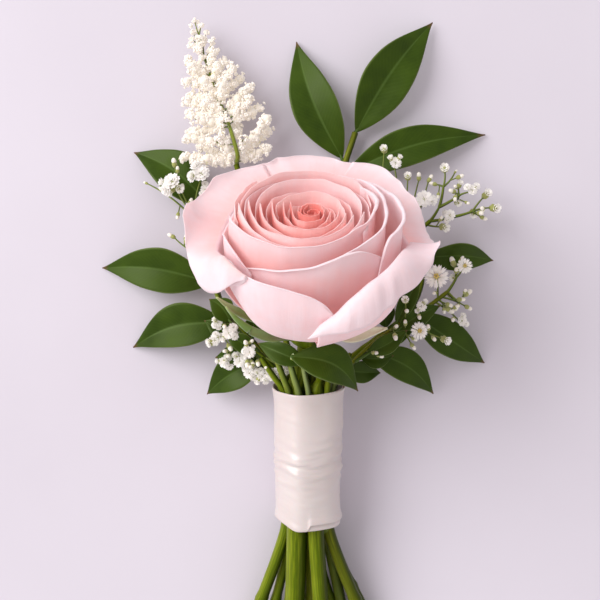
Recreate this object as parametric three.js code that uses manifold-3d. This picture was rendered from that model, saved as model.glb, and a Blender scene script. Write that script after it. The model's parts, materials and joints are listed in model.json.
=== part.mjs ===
// A boutonniere lying on a table: one open garden rose in front of ruscus leaves, a white astilbe plume
// and sprigs of baby's breath. Its nine stems are bound by stem tape and a satin ribbon, and splay below it.
// Millimetres. +Y runs from the cut stems to the flowers, +Z is up, and the table is z = 0.
// The rose leans over the leaves. The piece rests on its lowest cut stems and drooping leaf tips.
import * as THREE from "three";
import { mergeVertices } from "three/addons/utils/BufferGeometryUtils.js";
import Module from "manifold-3d";

const wasm = await Module();
wasm.setup();

const rad = THREE.MathUtils.degToRad;
const smooth = THREE.MathUtils.smoothstep;
const lerp = THREE.MathUtils.lerp;
const v3 = (x, y, z) => new THREE.Vector3(x, y, z);
const UP = v3(0, 0, 1);

// ---- Driving dimensions ----

const GAP = 0.35; // between pieces that touch
const RIBBON = { length: 33, outer: 8.5, inner: 8.1 };
const TAPE = { length: 29, outer: 7.8, inner: 7.45 };
const HANDLE = { middle: v3(1.9, -39.5, 13.4), rise: rad(8) }; // the bound stems climb towards the flower
const STRAIGHT = [-18, -14.5, 0, 14.5, 18]; // places along the handle between which the stems lie parallel
const ROSE = { seat: v3(2, -5, 24.5), lean: rad(52), hipRadius: 6.2, hipLength: 7.5, height: 33 };
const PETAL_THICKNESS = 0.35;
const SEPAL = { length: 17, rootHalfWidth: 2, tipHalfWidth: 0.3, belly: 1.8, thickness: 0.4 };
const LEAF = { thickness: 0.5, baseHalfWidth: 0.5, fold: 0.14 }; // fold: rise of a blade's edge per width
const PLUME = { base: v3(-15.8, 33.4, 9.8), tip: v3(-27, 71.4, 6), width: 25, depth: 11.6 };
const TWIG_RADIUS = 0.45;

// ---- Geometry helpers ----

// A closed geometry with its faces pointing out, from points and triangles.
function closedGeometry(points, triangles) {
  const volume = triangles.reduce((sum, [a, b, c]) => {
    return sum + points[a].dot(v3(0, 0, 0).crossVectors(points[b], points[c])) / 6;
  }, 0);
  const outward = volume < 0 ? triangles.map(([a, b, c]) => [a, c, b]) : triangles;
  return new THREE.BufferGeometry().setFromPoints(points).setIndex(outward.flat());
}

// A thin closed sheet about the middle surface given by surface(s, t), with s from -1 to 1 and t from 0 to 1.
function sheet(surface, columns, rows, thickness) {
  const step = 1e-3;
  const side = (sign) => {
    const made = [];
    for (let row = 0; row <= rows; row++) {
      for (let column = 0; column <= columns; column++) {
        const s = (2 * column) / columns - 1;
        const t = row / rows;
        const along = surface(s, Math.min(t + step, 1)).sub(surface(s, Math.max(t - step, 0)));
        const across = surface(Math.min(s + step, 1), t).sub(surface(Math.max(s - step, -1), t));
        const normal = across.cross(along).normalize();
        made.push(surface(s, t).addScaledVector(normal, (sign * thickness) / 2));
      }
    }
    return made;
  };
  const width = columns + 1;
  const count = width * (rows + 1);
  const triangles = [];
  const quad = (a, b, c, d) => triangles.push([a, b, c], [a, c, d]);
  for (let row = 0; row < rows; row++) {
    for (let column = 0; column < columns; column++) {
      const a = row * width + column;
      quad(a, a + 1, a + width + 1, a + width);
      quad(count + a, count + a + width, count + a + width + 1, count + a + 1);
    }
  }
  const rim = [];
  for (let column = 0; column < columns; column++) rim.push(column);
  for (let row = 0; row < rows; row++) rim.push(row * width + columns);
  for (let column = columns; column > 0; column--) rim.push(rows * width + column);
  for (let row = rows; row > 0; row--) rim.push(row * width);
  rim.forEach((a, i) => {
    const b = rim[(i + 1) % rim.length];
    quad(a, count + a, count + b, b);
  });
  return closedGeometry([...side(1), ...side(-1)], triangles);
}

// A round tube of radius 1 along a curve, thickened to radiusAt(share of the curve's length).
function tube(curve, radiusAt, sides, steps) {
  const corners = Array.from({ length: sides }, (_, i) => {
    const angle = (2 * Math.PI * i) / sides;
    return new THREE.Vector2(Math.cos(angle), Math.sin(angle));
  });
  const section = new THREE.Shape(corners);
  const geometry = new THREE.ExtrudeGeometry(section, { extrudePath: curve, steps, bevelEnabled: false });
  const centres = curve.getSpacedPoints(steps);
  const position = geometry.getAttribute("position");
  const point = v3(0, 0, 0);
  for (let i = 0; i < position.count; i++) {
    point.fromBufferAttribute(position, i);
    const distances = centres.map((centre) => centre.distanceToSquared(point));
    const nearest = distances.indexOf(Math.min(...distances));
    point.sub(centres[nearest]).multiplyScalar(radiusAt(nearest / steps)).add(centres[nearest]);
    position.setXYZ(i, point.x, point.y, point.z);
  }
  return geometry;
}

function toSolid(geometry) {
  const bare = geometry.clone();
  bare.deleteAttribute("normal");
  bare.deleteAttribute("uv");
  const merged = mergeVertices(bare, 1e-4);
  const vertProperties = merged.attributes.position.array;
  const triVerts = new Uint32Array(merged.index.array);
  return new wasm.Manifold(new wasm.Mesh({ numProp: 3, vertProperties, triVerts }));
}

function joined(geometries) {
  const whole = geometries.map(toSolid).reduce((sum, next) => sum.add(next));
  const mesh = whole.getMesh();
  return new THREE.BufferGeometry()
    .setAttribute("position", new THREE.BufferAttribute(mesh.vertProperties, 3))
    .setIndex(new THREE.BufferAttribute(mesh.triVerts, 1));
}

// ---- Materials and the group ----

const material = (color, roughness) => new THREE.MeshStandardMaterial({ color, roughness, metalness: 0 });
const FINISH = {
  petal: material(0xf4cdd0, 0.6),
  heart: material(0xe89a9c, 0.6),
  leaf: material(0x2f5a22, 0.35),
  stem: material(0x5c8a2a, 0.45),
  sepal: material(0x7d9c4c, 0.5),
  blossom: material(0xf7f3ec, 0.7),
  plume: material(0xf3ebdc, 0.8),
  ribbon: material(0xf2e6e0, 0.3),
  tape: material(0x4f6b35, 0.7),
};

const boutonniere = new THREE.Group();

function add(name, geometry, finish) {
  const mesh = new THREE.Mesh(geometry, finish);
  mesh.name = name;
  boutonniere.add(mesh);
  return mesh;
}

// ---- Places in the handle and in the rose ----

const handleAlong = v3(0, Math.cos(HANDLE.rise), Math.sin(HANDLE.rise));
const handleUp = v3(0, -Math.sin(HANDLE.rise), Math.cos(HANDLE.rise));

// A place in the handle: across it, up from its axis, and along it from its middle.
function inHandle(across, up, along) {
  const place = HANDLE.middle.clone().add(v3(across, 0, 0));
  return place.addScaledVector(handleUp, up).addScaledVector(handleAlong, along);
}

const roseAxis = v3(0, Math.sin(ROSE.lean), Math.cos(ROSE.lean));
const roseFront = v3(0, -Math.cos(ROSE.lean), Math.sin(ROSE.lean));

// A place in the rose: height above the top of the hip, radius, and azimuth from its front towards +X.
function inRose(height, radius, azimuth) {
  const place = ROSE.seat.clone().addScaledVector(roseAxis, height);
  place.addScaledVector(roseFront, radius * Math.cos(azimuth));
  return place.add(v3(radius * Math.sin(azimuth), 0, 0));
}

// ---- Stems ----

// Each stem's place across the handle, its radius there, its cut end, and its way on above the ribbon to
// an end of the radius thin.
const STEMS = {
  rose: {
    place: [-2.7, 2.4], radius: 2.5, thin: 2.4, foot: v3(-1.8, -93, 8.2),
    way: [v3(0.5, -17.5, 18.8), v3(1.6, -13.6, 19.4), inRose(-ROSE.hipLength, 0, 0), inRose(-4, 0, 0)],
  },
  ruscus_top: {
    place: [0.9, -0.6], radius: 1.8, thin: 0.8, foot: v3(3.6, -92, 5.6),
    way: [
      v3(3.2, -12, 13), v3(4, 2, 9), v3(6.5, 18, 5.2), v3(10.2, 30, 3.8), v3(11.8, 35.7, 3.6),
      v3(14.2, 43, 3.8),
    ],
  },
  ruscus_left: {
    place: [-3.7, -4.15], radius: 1.25, thin: 0.8, foot: v3(-9.6, -91.5, 1.3),
    way: [
      v3(-6, -17, 10.4), v3(-13, -9.5, 9), v3(-19, -3, 7.6), v3(-21.6, 4, 6.8), v3(-22.4, 12, 6),
      v3(-22.4, 23.5, 5.2),
    ],
  },
  ruscus_right: {
    place: [4, -3.2], radius: 1.4, thin: 0.8, foot: v3(19, -85, 1.4),
    way: [v3(11, -16, 11.6), v3(19, -10, 10.6), v3(27, -3.5, 9.6), v3(30.6, 4, 9), v3(30.6, 10.8, 8.4)],
  },
  ruscus_front: {
    place: [2.1, 3.6], radius: 2, thin: 0.9, foot: v3(6.2, -90, 9.6),
    way: [v3(4.8, -18.6, 21.4), v3(2.4, -15.6, 24.2), v3(-1.8, -13.6, 26.6)],
  },
  astilbe: {
    place: [-2.3, -2.1], radius: 1.25, thin: 0.7, foot: v3(-4.6, -90, 4.6),
    way: [v3(-3, -12, 10.5), v3(-9, 5, 7), v3(-13.8, 22, 8.2), v3(-16, 34, 9.6), v3(-19, 44, 9)],
  },
  gypsophila_left: {
    place: [-5.3, -1.1], radius: 1.5, thin: 0.55, foot: v3(-14.8, -90, 1.6),
    way: [
      v3(-5.2, -18.4, 16), v3(-9, -14, 17), v3(-13.4, -10.6, 16.4), v3(-19.5, -1, 14), v3(-24.6, 13, 11),
      v3(-26.5, 23, 10),
    ],
  },
  gypsophila_top_right: {
    place: [0.4, -4.6], radius: 1.35, thin: 0.55, foot: v3(11.6, -91, 1.4),
    way: [v3(5, -14, 8.6), v3(12, 0, 7.2), v3(22, 10.5, 7.4), v3(29, 16.6, 8), v3(33, 20, 8.4)],
  },
  gypsophila_right: {
    place: [5.2, 0.5], radius: 1.55, thin: 0.55, foot: v3(18.8, -88, 4.8),
    way: [v3(12, -16.5, 17), v3(19, -10, 16.6), v3(26, -5.4, 16), v3(32, -1.6, 14), v3(37, 2, 12)],
  },
};

for (const stem of Object.values(STEMS)) {
  const [across, up] = stem.place;
  const bound = STRAIGHT.map((along) => inHandle(across, up, along));
  stem.curve = new THREE.CatmullRomCurve3([stem.foot, ...bound, ...stem.way]);
  stem.boundShare = stem.foot.distanceTo(bound.at(-1)) / stem.curve.getLength();
}

// Full thickness up to the ribbon's top, and thinner from there to the stem's end.
const stemRadius = (stem, share) => lerp(stem.radius, stem.thin, smooth(share, stem.boundShare, 1));

function stemTube(stem) {
  return tube(stem.curve, (share) => stemRadius(stem, share), 8, 15);
}

// ---- Handle: the stem tape and the ribbon, as sleeves ----

function addSleeve(name, { length, outer, inner }, finish) {
  const half = length / 2;
  const corners = [[inner, -half], [outer, -half], [outer, half], [inner, half], [inner, -half]];
  const profile = corners.map(([radius, along]) => new THREE.Vector2(radius, along));
  const sleeve = add(name, new THREE.LatheGeometry(profile, 28), finish);
  sleeve.position.copy(HANDLE.middle);
  sleeve.rotation.x = HANDLE.rise;
}

// ---- Rose ----

// The cup that every whorl follows: 0 at the hip, near 1 over the upper half, and a little less at the rim.
const cup = (x) => (1 - (1 - x) ** 3) * (1 - 0.08 * x * x);

// Whorls from the inside out. first is the azimuth of a whorl's first petal, base and rim are radii, and
// reach is how far a petal goes round from its middle, in degrees.
const WHORLS = [
  { name: "inner", first: 20, count: 5, base: 2.6, rim: 8.6, height: 32.6, reach: 56, flare: 0 },
  { name: "cup", first: 50, count: 5, base: 3.3, rim: 11.8, height: 33.4, reach: 56, flare: 0 },
  { name: "bowl", first: -14, count: 4, base: 4, rim: 15.4, height: 33.6, reach: 64, flare: 0 },
  { name: "shoulder", first: -42, count: 3, base: 4.7, rim: 18.2, height: 33, reach: 76, flare: 0.2 },
  { name: "skirt", first: 18, count: 3, base: 5.4, rim: 21, height: 31.5, reach: 76, flare: 0.6 },
];
const WHORL_ROUND = 0.16;
const PINWHEEL = 0.65; // how much further out a petal's one side lies than its middle, over its neighbour
const DEGREES_PER_COLUMN = 19;

// The five outer petals, which open wide. lift is how far a petal lies outside its neighbours, and round is
// how much lower its rim is at its sides than in its middle.
const OUTER = [
  { name: "front_left", azimuth: -15, reach: 31, height: 28.5, flare: 0.4, lift: 0, round: 0.22 },
  { name: "front_right", azimuth: 44, reach: 46, height: 27.5, flare: 2.6, lift: 1.8, round: 0.26 },
  { name: "right", azimuth: 118, reach: 42, height: 28, flare: 2.4, lift: 0.9, round: 0.26 },
  { name: "back", azimuth: 184, reach: 42, height: 29.5, flare: 1.2, lift: 0, round: 0.26 },
  { name: "left", azimuth: -98, reach: 53, height: 33, flare: 2.2, lift: 0.9, round: 0.34 },
];
const OUTER_BASE = 6.1;
const OUTER_RIM = 27;
const OUTER_CLAW = 26;

// A petal's middle surface. Its rim is highest in the middle, and it narrows to a claw at the hip.
function petalSurface({ azimuth, base, rim, height, reach, claw, flare, round, pinwheel = 0, lift = 0 }) {
  const foot = GAP + PETAL_THICKNESS / 2;
  return (s, t) => {
    const top = height * (1 - round * Math.abs(s) ** 3);
    const h = lerp(foot, top, t);
    const x = h / ROSE.height;
    const turn = lerp(claw, reach, smooth(x, 0.04, 0.5)) * s;
    const opened = base + (rim - base) * cup(Math.min(x, 1)) + flare * smooth(x, 0.35, 1);
    const radius = opened + (pinwheel * s + lift) * smooth(x, 0, 0.25);
    return inRose(h, radius, rad(azimuth + turn));
  };
}

// A body turned about the rose's axis, from its corners as [radius, height].
function turnedInRose(corners) {
  const profile = corners.map(([radius, height]) => new THREE.Vector2(radius, height));
  const geometry = new THREE.LatheGeometry(profile, 12);
  geometry.rotateX(Math.PI / 2 - ROSE.lean);
  return geometry.translate(ROSE.seat.x, ROSE.seat.y, ROSE.seat.z);
}

function addRose() {
  const bottom = -ROSE.hipLength;
  const hip = [[0, bottom], [2.4, bottom], [4.6, -5], [6, -1.8], [ROSE.hipRadius, 0], [0, 0]];
  add("rose_stem_and_hip", joined([stemTube(STEMS.rose), turnedInRose(hip)]), FINISH.stem);

  const heart = [[0, GAP], [1.8, GAP], [2.1, 3], [4.4, 14], [5.4, 24], [4.6, 30.5], [2.4, 32.6], [0, 31.8]];
  add("rose_heart", turnedInRose(heart), FINISH.heart);

  for (const whorl of WHORLS) {
    const spacing = 360 / whorl.count;
    const columns = Math.ceil((2 * whorl.reach) / DEGREES_PER_COLUMN);
    for (let i = 0; i < whorl.count; i++) {
      const azimuth = whorl.first + i * spacing;
      const surface = petalSurface({
        ...whorl, azimuth, claw: spacing / 3, round: WHORL_ROUND, pinwheel: PINWHEEL,
      });
      add(`${whorl.name}_petal_${i + 1}`, sheet(surface, columns, 6, PETAL_THICKNESS), FINISH.petal);
    }
  }
  for (const petal of OUTER) {
    const surface = petalSurface({ ...petal, base: OUTER_BASE, rim: OUTER_RIM, claw: OUTER_CLAW });
    add(`outer_petal_${petal.name}`, sheet(surface, 8, 7, PETAL_THICKNESS), FINISH.petal);
  }
}

// ---- Sepals: two hug the bowl and three fold back along the hip ----

const SEPALS = [
  { azimuth: -56, sway: 12, hug: true },
  { azimuth: 40, sway: 0, hug: false },
  { azimuth: 80, sway: -26, hug: true },
  { azimuth: 158, sway: 0, hug: false },
  { azimuth: 230, sway: 0, hug: false },
];
const SEPAL_ROOT = { height: -0.9, radius: 6.9 };

// A sepal's middle surface. It leaves the hip's rim, tapers to its tip, and sways sideways on the way.
function sepalSurface({ azimuth, sway, hug }) {
  return (s, t) => {
    const belly = SEPAL.belly * Math.sin(Math.PI * t ** 0.8) * (1 - t);
    const halfWidth = lerp(SEPAL.rootHalfWidth, SEPAL.tipHalfWidth, t) + belly;
    const height = SEPAL_ROOT.height + SEPAL.length * t * (hug ? 0.66 : -0.38);
    const bowl = OUTER_BASE + (OUTER_RIM - OUTER_BASE) * cup(Math.max(height, 0) / ROSE.height);
    const radius = hug ? bowl + 0.9 + 2.4 * smooth(t, 0, 0.35) : SEPAL_ROOT.radius + 0.3 * t;
    return inRose(height, radius, rad(azimuth + sway * t) + (halfWidth * s) / radius);
  };
}

function addSepals() {
  SEPALS.forEach((sepal, i) => {
    add(`sepal_${i + 1}`, sheet(sepalSurface(sepal), 2, 7, SEPAL.thickness), FINISH.sepal);
  });
}

// ---- Ruscus leaves ----

// For each stem, its leaves: at is the share of the way up the stem where a leaf grows, roll turns its blade
// about its own length in degrees, arch is how far its middle rises, and sway how far its middle lies to its
// own right. A leaf that folds back over its stem starts above it, by rise.
const LEAVES = {
  ruscus_top: {
    top_left: { at: 0.936, tip: v3(-0.9, 66.9, 0.8), halfWidth: 5.9, roll: -8, arch: 3.2, sway: -1.3 },
    top: { at: 1, tip: v3(34.3, 71.8, 1.4), halfWidth: 6.3, roll: 10, arch: 3, sway: -1.8 },
    top_right: { at: 0.92, tip: v3(48, 42.8, 0.8), halfWidth: 4.9, roll: -4, arch: 3.4, sway: -1.7 },
  },
  ruscus_left: {
    upper_left: { at: 1, tip: v3(-43, 38.2, 0.8), halfWidth: 5.6, roll: 6, arch: 2.4, sway: 1.8 },
    left: { at: 0.845, tip: v3(-51.2, 8.3, 0.7), halfWidth: 5.6, roll: -6, arch: 3, sway: 1.9 },
    lower_left: { at: 0.755, tip: v3(-43.2, -12.3, 0.7), halfWidth: 5.6, roll: 8, arch: 2.6, sway: 2.2 },
    bottom_left: { at: 0.655, tip: v3(-23.9, -24.2, 3.2), halfWidth: 4.4, roll: 6, arch: 1.6, sway: 1 },
  },
  ruscus_front: {
    bottom_front: {
      at: 1, tip: v3(14, -22, 24.5), halfWidth: 3.8, roll: -20, arch: 3.2, sway: -1.6, rise: 2,
    },
    bottom_inner: { at: 0.93, tip: v3(-10.4, -10.6, 20), halfWidth: 2.7, roll: 0, arch: 1.2, sway: 0 },
  },
  ruscus_right: {
    bottom_back: { at: 0.655, tip: v3(20.5, -18.6, 6.4), halfWidth: 2.8, roll: 0, arch: 0.8, sway: 0 },
    bottom_right: { at: 0.735, tip: v3(34.3, -24.1, 3.4), halfWidth: 4.2, roll: -6, arch: 2, sway: -2 },
    right: { at: 0.87, tip: v3(47.8, -16.3, 0.7), halfWidth: 4.5, roll: -6, arch: 2.4, sway: 0.4 },
    upper_right: { at: 1, tip: v3(49.8, 10.2, 2.4), halfWidth: 3.8, roll: 24, arch: 2, sway: -1.8 },
  },
};

// Where a leaf's blade starts, clear of its stem.
function leafBase(stem, { at, tip, rise }) {
  const root = stem.curve.getPointAt(at);
  if (rise) return root.add(v3(0, 0, rise));
  const toTip = tip.clone().sub(root).normalize();
  const angle = toTip.angleTo(stem.curve.getTangentAt(at));
  const radius = stemRadius(stem, at);
  const beside = (radius + 0.2 + LEAF.baseHalfWidth * Math.abs(Math.cos(angle))) / Math.sin(angle);
  return root.addScaledVector(toTip, at === 1 ? GAP + radius * Math.sin(angle) : beside);
}

function leafSurface(stem, leaf) {
  const base = leafBase(stem, leaf);
  const blade = leaf.tip.clone().sub(base);
  const ahead = blade.clone().normalize();
  const right = v3(0, 0, 0).crossVectors(ahead, UP).normalize().applyAxisAngle(ahead, rad(leaf.roll));
  const over = v3(0, 0, 0).crossVectors(right, ahead);
  return (s, t) => {
    const belly = Math.abs(Math.sin(Math.PI * t ** 0.8)) ** 1.2;
    const half = lerp(LEAF.baseHalfWidth, leaf.halfWidth, belly) * (t > 0.98 ? 0.5 : 1);
    const bend = Math.sin(Math.PI * t);
    const point = base.clone().addScaledVector(blade, t);
    point.addScaledVector(right, half * s + leaf.sway * bend);
    return point.addScaledVector(over, leaf.arch * bend + LEAF.fold * half * Math.abs(s));
  };
}

function addRuscus() {
  for (const [stemName, leaves] of Object.entries(LEAVES)) {
    const stem = STEMS[stemName];
    add(`${stemName}_stem`, stemTube(stem), FINISH.stem);
    for (const [name, leaf] of Object.entries(leaves)) {
      add(`ruscus_leaf_${name}`, sheet(leafSurface(stem, leaf), 4, 8, LEAF.thickness), FINISH.leaf);
    }
  }
}

// ---- Astilbe: the envelope of its plume of florets, on its stem ----

function addPlume() {
  const rings = 14;
  const along = PLUME.tip.clone().sub(PLUME.base);
  const profile = [new THREE.Vector2(0, 0)];
  for (let ring = 0; ring < rings; ring++) {
    const t = ring / rings;
    const envelope = smooth(t, -0.18, 0.14) * (1 - t) ** 0.85 + 0.04;
    const tier = ring % 2 ? 1.05 : 0.95;
    profile.push(new THREE.Vector2((PLUME.width / 2) * envelope * tier, along.length() * t));
  }
  profile.push(new THREE.Vector2(0, along.length()));
  const plume = new THREE.LatheGeometry(profile, 14);
  plume.scale(1, 1, PLUME.depth / PLUME.width);
  const turn = new THREE.Quaternion().setFromUnitVectors(v3(0, 1, 0), along.normalize());
  plume.applyQuaternion(turn).translate(PLUME.base.x, PLUME.base.y, PLUME.base.z);
  add("astilbe_plume", joined([stemTube(STEMS.astilbe), plume]), FINISH.plume);
}

// ---- Baby's breath: each sprig is a main stem with twigs, and a blossom or bud at each twig's end ----

// Each twig: the share of the way up its stem where it leaves, its end, and its blossom's radius.
const SPRIGS = {
  gypsophila_left: [
    [0.66, v3(-3.9, -17, 18), 1.2], [0.66, v3(-6.4, -18, 17), 1.6], [0.68, v3(-9.4, -19, 16), 1.6],
    [0.7, v3(-12.6, -18.2, 15), 1.6], [0.7, v3(-15, -15.2, 15.4), 1.7], [0.72, v3(-18.9, -15.6, 14), 1.7],
    [0.73, v3(-21.2, -10, 15), 1.6], [0.74, v3(-17.6, -8.2, 18), 1.9], [0.75, v3(-20.3, -5.6, 17), 1.3],
    [0.72, v3(-12.4, -12.9, 19), 1.5], [0.9, v3(-32.5, 16.2, 9), 0.8], [1, v3(-23.6, 27.6, 13.6), 1.5],
    [1, v3(-24.6, 31.4, 16), 2.4], [0.98, v3(-32, 29.6, 14), 2.6], [0.98, v3(-31.6, 34.4, 12), 0.9],
    [0.97, v3(-39.4, 29.9, 6), 0.5],
  ],
  gypsophila_top_right: [
    [0.9, v3(21.2, 38.1, 10), 1.1], [0.9, v3(24, 34.4, 12), 1.7], [0.93, v3(27, 31, 12.6), 1.2],
    [0.94, v3(30.1, 31.2, 9), 0.9], [0.95, v3(33, 30.8, 8), 0.9], [0.93, v3(31, 25.2, 14), 2.4],
    [1, v3(36.4, 33.2, 11), 1.3], [1, v3(40.5, 29.4, 9), 1], [1, v3(43.2, 27.6, 12), 1.6],
    [1, v3(47.2, 26.8, 10), 1.3], [1, v3(49.3, 23.2, 10), 1.4], [1, v3(40, 24.6, 9), 1.1],
    [1, v3(44, 22, 8), 1.2], [0.99, v3(36.6, 18.4, 9), 1.4],
  ],
  gypsophila_right: [
    [0.97, v3(33.8, 5.7, 17), 3.1], [1, v3(41.2, 8.5, 13), 2.1], [1, v3(38.6, 9.6, 10), 1],
    [1, v3(42.3, 1.7, 9.6), 1], [1, v3(38.8, 5.6, 10), 1.2], [0.98, v3(42.6, -1.9, 8.6), 0.9],
    [0.97, v3(37.4, -2.4, 11.6), 1.1], [0.96, v3(41, -5.3, 9.4), 1.5], [0.9, v3(30, -1.6, 17.4), 1.4],
    [0.87, v3(25.8, 0, 17), 1.1], [0.86, v3(29.2, -7.6, 19), 2.7], [0.88, v3(36.4, -10, 14), 1.2],
    [0.86, v3(28.1, -11.5, 14.6), 0.8], [0.83, v3(23.6, -6.6, 18.6), 0.8], [0.76, v3(18.4, -13, 18), 0.7],
  ],
};

function twig(root, end) {
  const bend = root.clone().lerp(end, 0.5).add(v3(0, 0, 0.12 * root.distanceTo(end)));
  return tube(new THREE.QuadraticBezierCurve3(root, bend, end), () => TWIG_RADIUS, 4, 2);
}

function addSprigs() {
  for (const [name, twigs] of Object.entries(SPRIGS)) {
    const stem = STEMS[name];
    const pieces = [stemTube(stem)];
    for (const [at, end, radius] of twigs) {
      const blossom = new THREE.OctahedronGeometry(radius, 1);
      blossom.translate(end.x, end.y, end.z);
      pieces.push(twig(stem.curve.getPointAt(at), end), blossom);
    }
    add(`${name}_sprig`, joined(pieces), FINISH.blossom);
  }
}

addSleeve("stem_tape", TAPE, FINISH.tape);
addSleeve("satin_ribbon", RIBBON, FINISH.ribbon);
addRose();
addSepals();
addRuscus();
addPlume();
addSprigs();

// The part's origin is on the table, under the middle of the whole piece.
const box = new THREE.Box3().setFromObject(boutonniere, true);
const middle = box.getCenter(v3(0, 0, 0));
boutonniere.position.set(-middle.x, -middle.y, -box.min.z);

export default boutonniere;
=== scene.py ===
import json
import math
import random

import bpy
import numpy as np
from mathutils import Matrix, Vector, noise

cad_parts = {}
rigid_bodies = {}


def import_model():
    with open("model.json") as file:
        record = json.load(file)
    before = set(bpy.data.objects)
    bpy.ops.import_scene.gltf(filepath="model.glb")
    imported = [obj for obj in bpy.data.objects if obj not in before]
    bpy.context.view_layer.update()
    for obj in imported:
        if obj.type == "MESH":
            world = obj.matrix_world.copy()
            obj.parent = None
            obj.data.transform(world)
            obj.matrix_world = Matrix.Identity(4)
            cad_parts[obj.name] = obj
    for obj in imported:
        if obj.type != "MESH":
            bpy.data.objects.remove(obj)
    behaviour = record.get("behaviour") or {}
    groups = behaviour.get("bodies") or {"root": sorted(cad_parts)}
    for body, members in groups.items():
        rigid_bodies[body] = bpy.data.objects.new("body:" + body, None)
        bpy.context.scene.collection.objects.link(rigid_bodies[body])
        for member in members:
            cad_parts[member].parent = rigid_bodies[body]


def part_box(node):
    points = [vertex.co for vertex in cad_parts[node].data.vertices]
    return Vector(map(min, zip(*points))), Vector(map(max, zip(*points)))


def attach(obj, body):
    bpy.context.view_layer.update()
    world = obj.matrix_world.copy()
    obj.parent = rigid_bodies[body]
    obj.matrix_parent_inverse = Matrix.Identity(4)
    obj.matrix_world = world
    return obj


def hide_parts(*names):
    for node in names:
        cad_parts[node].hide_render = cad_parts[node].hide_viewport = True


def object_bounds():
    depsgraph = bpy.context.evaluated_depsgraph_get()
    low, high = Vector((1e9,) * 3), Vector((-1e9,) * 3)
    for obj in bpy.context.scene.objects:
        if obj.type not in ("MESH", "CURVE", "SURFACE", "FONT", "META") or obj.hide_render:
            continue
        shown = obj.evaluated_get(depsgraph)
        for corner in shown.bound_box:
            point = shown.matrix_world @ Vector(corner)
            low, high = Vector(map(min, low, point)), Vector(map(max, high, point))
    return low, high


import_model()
cad_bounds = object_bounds()

MM = 0.001
TAU = 2 * math.pi
RIGHT = np.array([1.0, 0.0, 0.0])
UP = np.array([0.0, 0.0, 1.0])

# ---- Bench and frame ----

HANDLE_MIDDLE = np.array([1.9, -39.5, 13.4])
HANDLE_RISE = math.radians(8)
ribbon_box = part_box("satin_ribbon")
BENCH_TO_FRAME = np.array((ribbon_box[0] + ribbon_box[1]) / 2) / MM - HANDLE_MIDDLE


def to_frame(points):
    return (np.asarray(points, float) + BENCH_TO_FRAME) * MM


def smooth(x, low, high):
    t = np.clip((np.asarray(x, float) - low) / (high - low), 0, 1)
    return t * t * (3 - 2 * t)


def mix(a, b, t):
    return a + (b - a) * t


def bell(x, middle, width):
    return np.exp(-(((x - middle) / width) ** 2))


def unit(vectors):
    vectors = np.asarray(vectors, float)
    return vectors / np.maximum(np.linalg.norm(vectors, axis=-1, keepdims=True), 1e-9)


def ripple(x, y, seed):
    """Smooth noise from -1 to 1 over x and y."""
    x, y = np.broadcast_arrays(np.asarray(x, float), np.asarray(y, float))
    flat = [noise.noise(Vector((a, b, seed * 5.17))) for a, b in zip(x.ravel(), y.ravel())]
    return np.array(flat).reshape(x.shape)


def lengths_along(path):
    return np.concatenate([[0], np.cumsum(np.linalg.norm(np.diff(path, axis=0), axis=1))])


def spline(points, steps):
    """steps + 1 points, evenly spaced, on a centripetal Catmull-Rom curve through the given points."""
    p = np.asarray(points, float)
    p = np.vstack([2 * p[0] - p[1], p, 2 * p[-1] - p[-2]])
    fine = []
    for a, b, c, d in zip(p, p[1:], p[2:], p[3:]):
        ab, bc, cd = (max(np.dot(q, q) ** 0.25, 1e-4) for q in (b - a, c - b, d - c))
        start = ((b - a) / ab - (c - a) / (ab + bc) + (c - b) / bc) * bc
        end = ((c - b) / bc - (d - b) / (bc + cd) + (d - c) / cd) * bc
        t = np.linspace(0, 1, 30, endpoint=False)[:, None]
        square, cube = 3 * (c - b) - 2 * start - end, 2 * (b - c) + start + end
        fine.append(b + start * t + square * t**2 + cube * t**3)
    fine = np.vstack([*fine, p[-2]])
    far = lengths_along(fine)
    places = np.linspace(0, far[-1], steps + 1)
    return np.stack([np.interp(places, far, fine[:, k]) for k in range(fine.shape[1])], axis=1)


def arch_between(root, end, lift, steps=8, sideways=0.0):
    """A path from root to end that rises in its middle."""
    root, end = np.array(root, float), np.array(end, float)
    t = np.linspace(0, 1, steps + 1)[:, None]
    side = unit(np.cross(end - root, UP))
    return mix(root, end, t) + (UP * lift + side * sideways) * np.linalg.norm(end - root) * 2 * t * (1 - t)


# ---- Mesh building ----


class Shape:
    """Points, faces and values at the points, gathered from several surfaces."""

    def __init__(self):
        self.points, self.faces, self.values, self.count = [], [], {}, 0

    def add(self, points, faces, **values):
        points = np.asarray(points, float).reshape(-1, 3)
        for name in {**self.values, **values}:
            kept = self.values.setdefault(name, [np.zeros(self.count)])
            kept.append(np.broadcast_to(np.ravel(values.get(name, 0.0)), len(points)))
        self.points.append(points)
        self.faces += [tuple(i + self.count for i in face) for face in faces]
        self.count += len(points)

    def mesh(self, name):
        mesh = bpy.data.meshes.new(name)
        mesh.from_pydata(to_frame(np.vstack(self.points)).tolist(), [], self.faces)
        for value, parts in self.values.items():
            layer = mesh.attributes.new(value, "FLOAT", "POINT")
            layer.data.foreach_set("value", np.concatenate(parts).astype(np.float32))
        mesh.shade_smooth()
        return mesh


def grid_faces(rows, columns, closed=False, flip=False, start=0):
    faces = []
    for row in range(start, start + (rows - 1) * columns, columns):
        for column in range(columns if closed else columns - 1):
            a, b = row + column, row + (column + 1) % columns
            face = (a, b, b + columns, a + columns)
            faces.append(face[::-1] if flip else face)
    return faces


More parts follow.
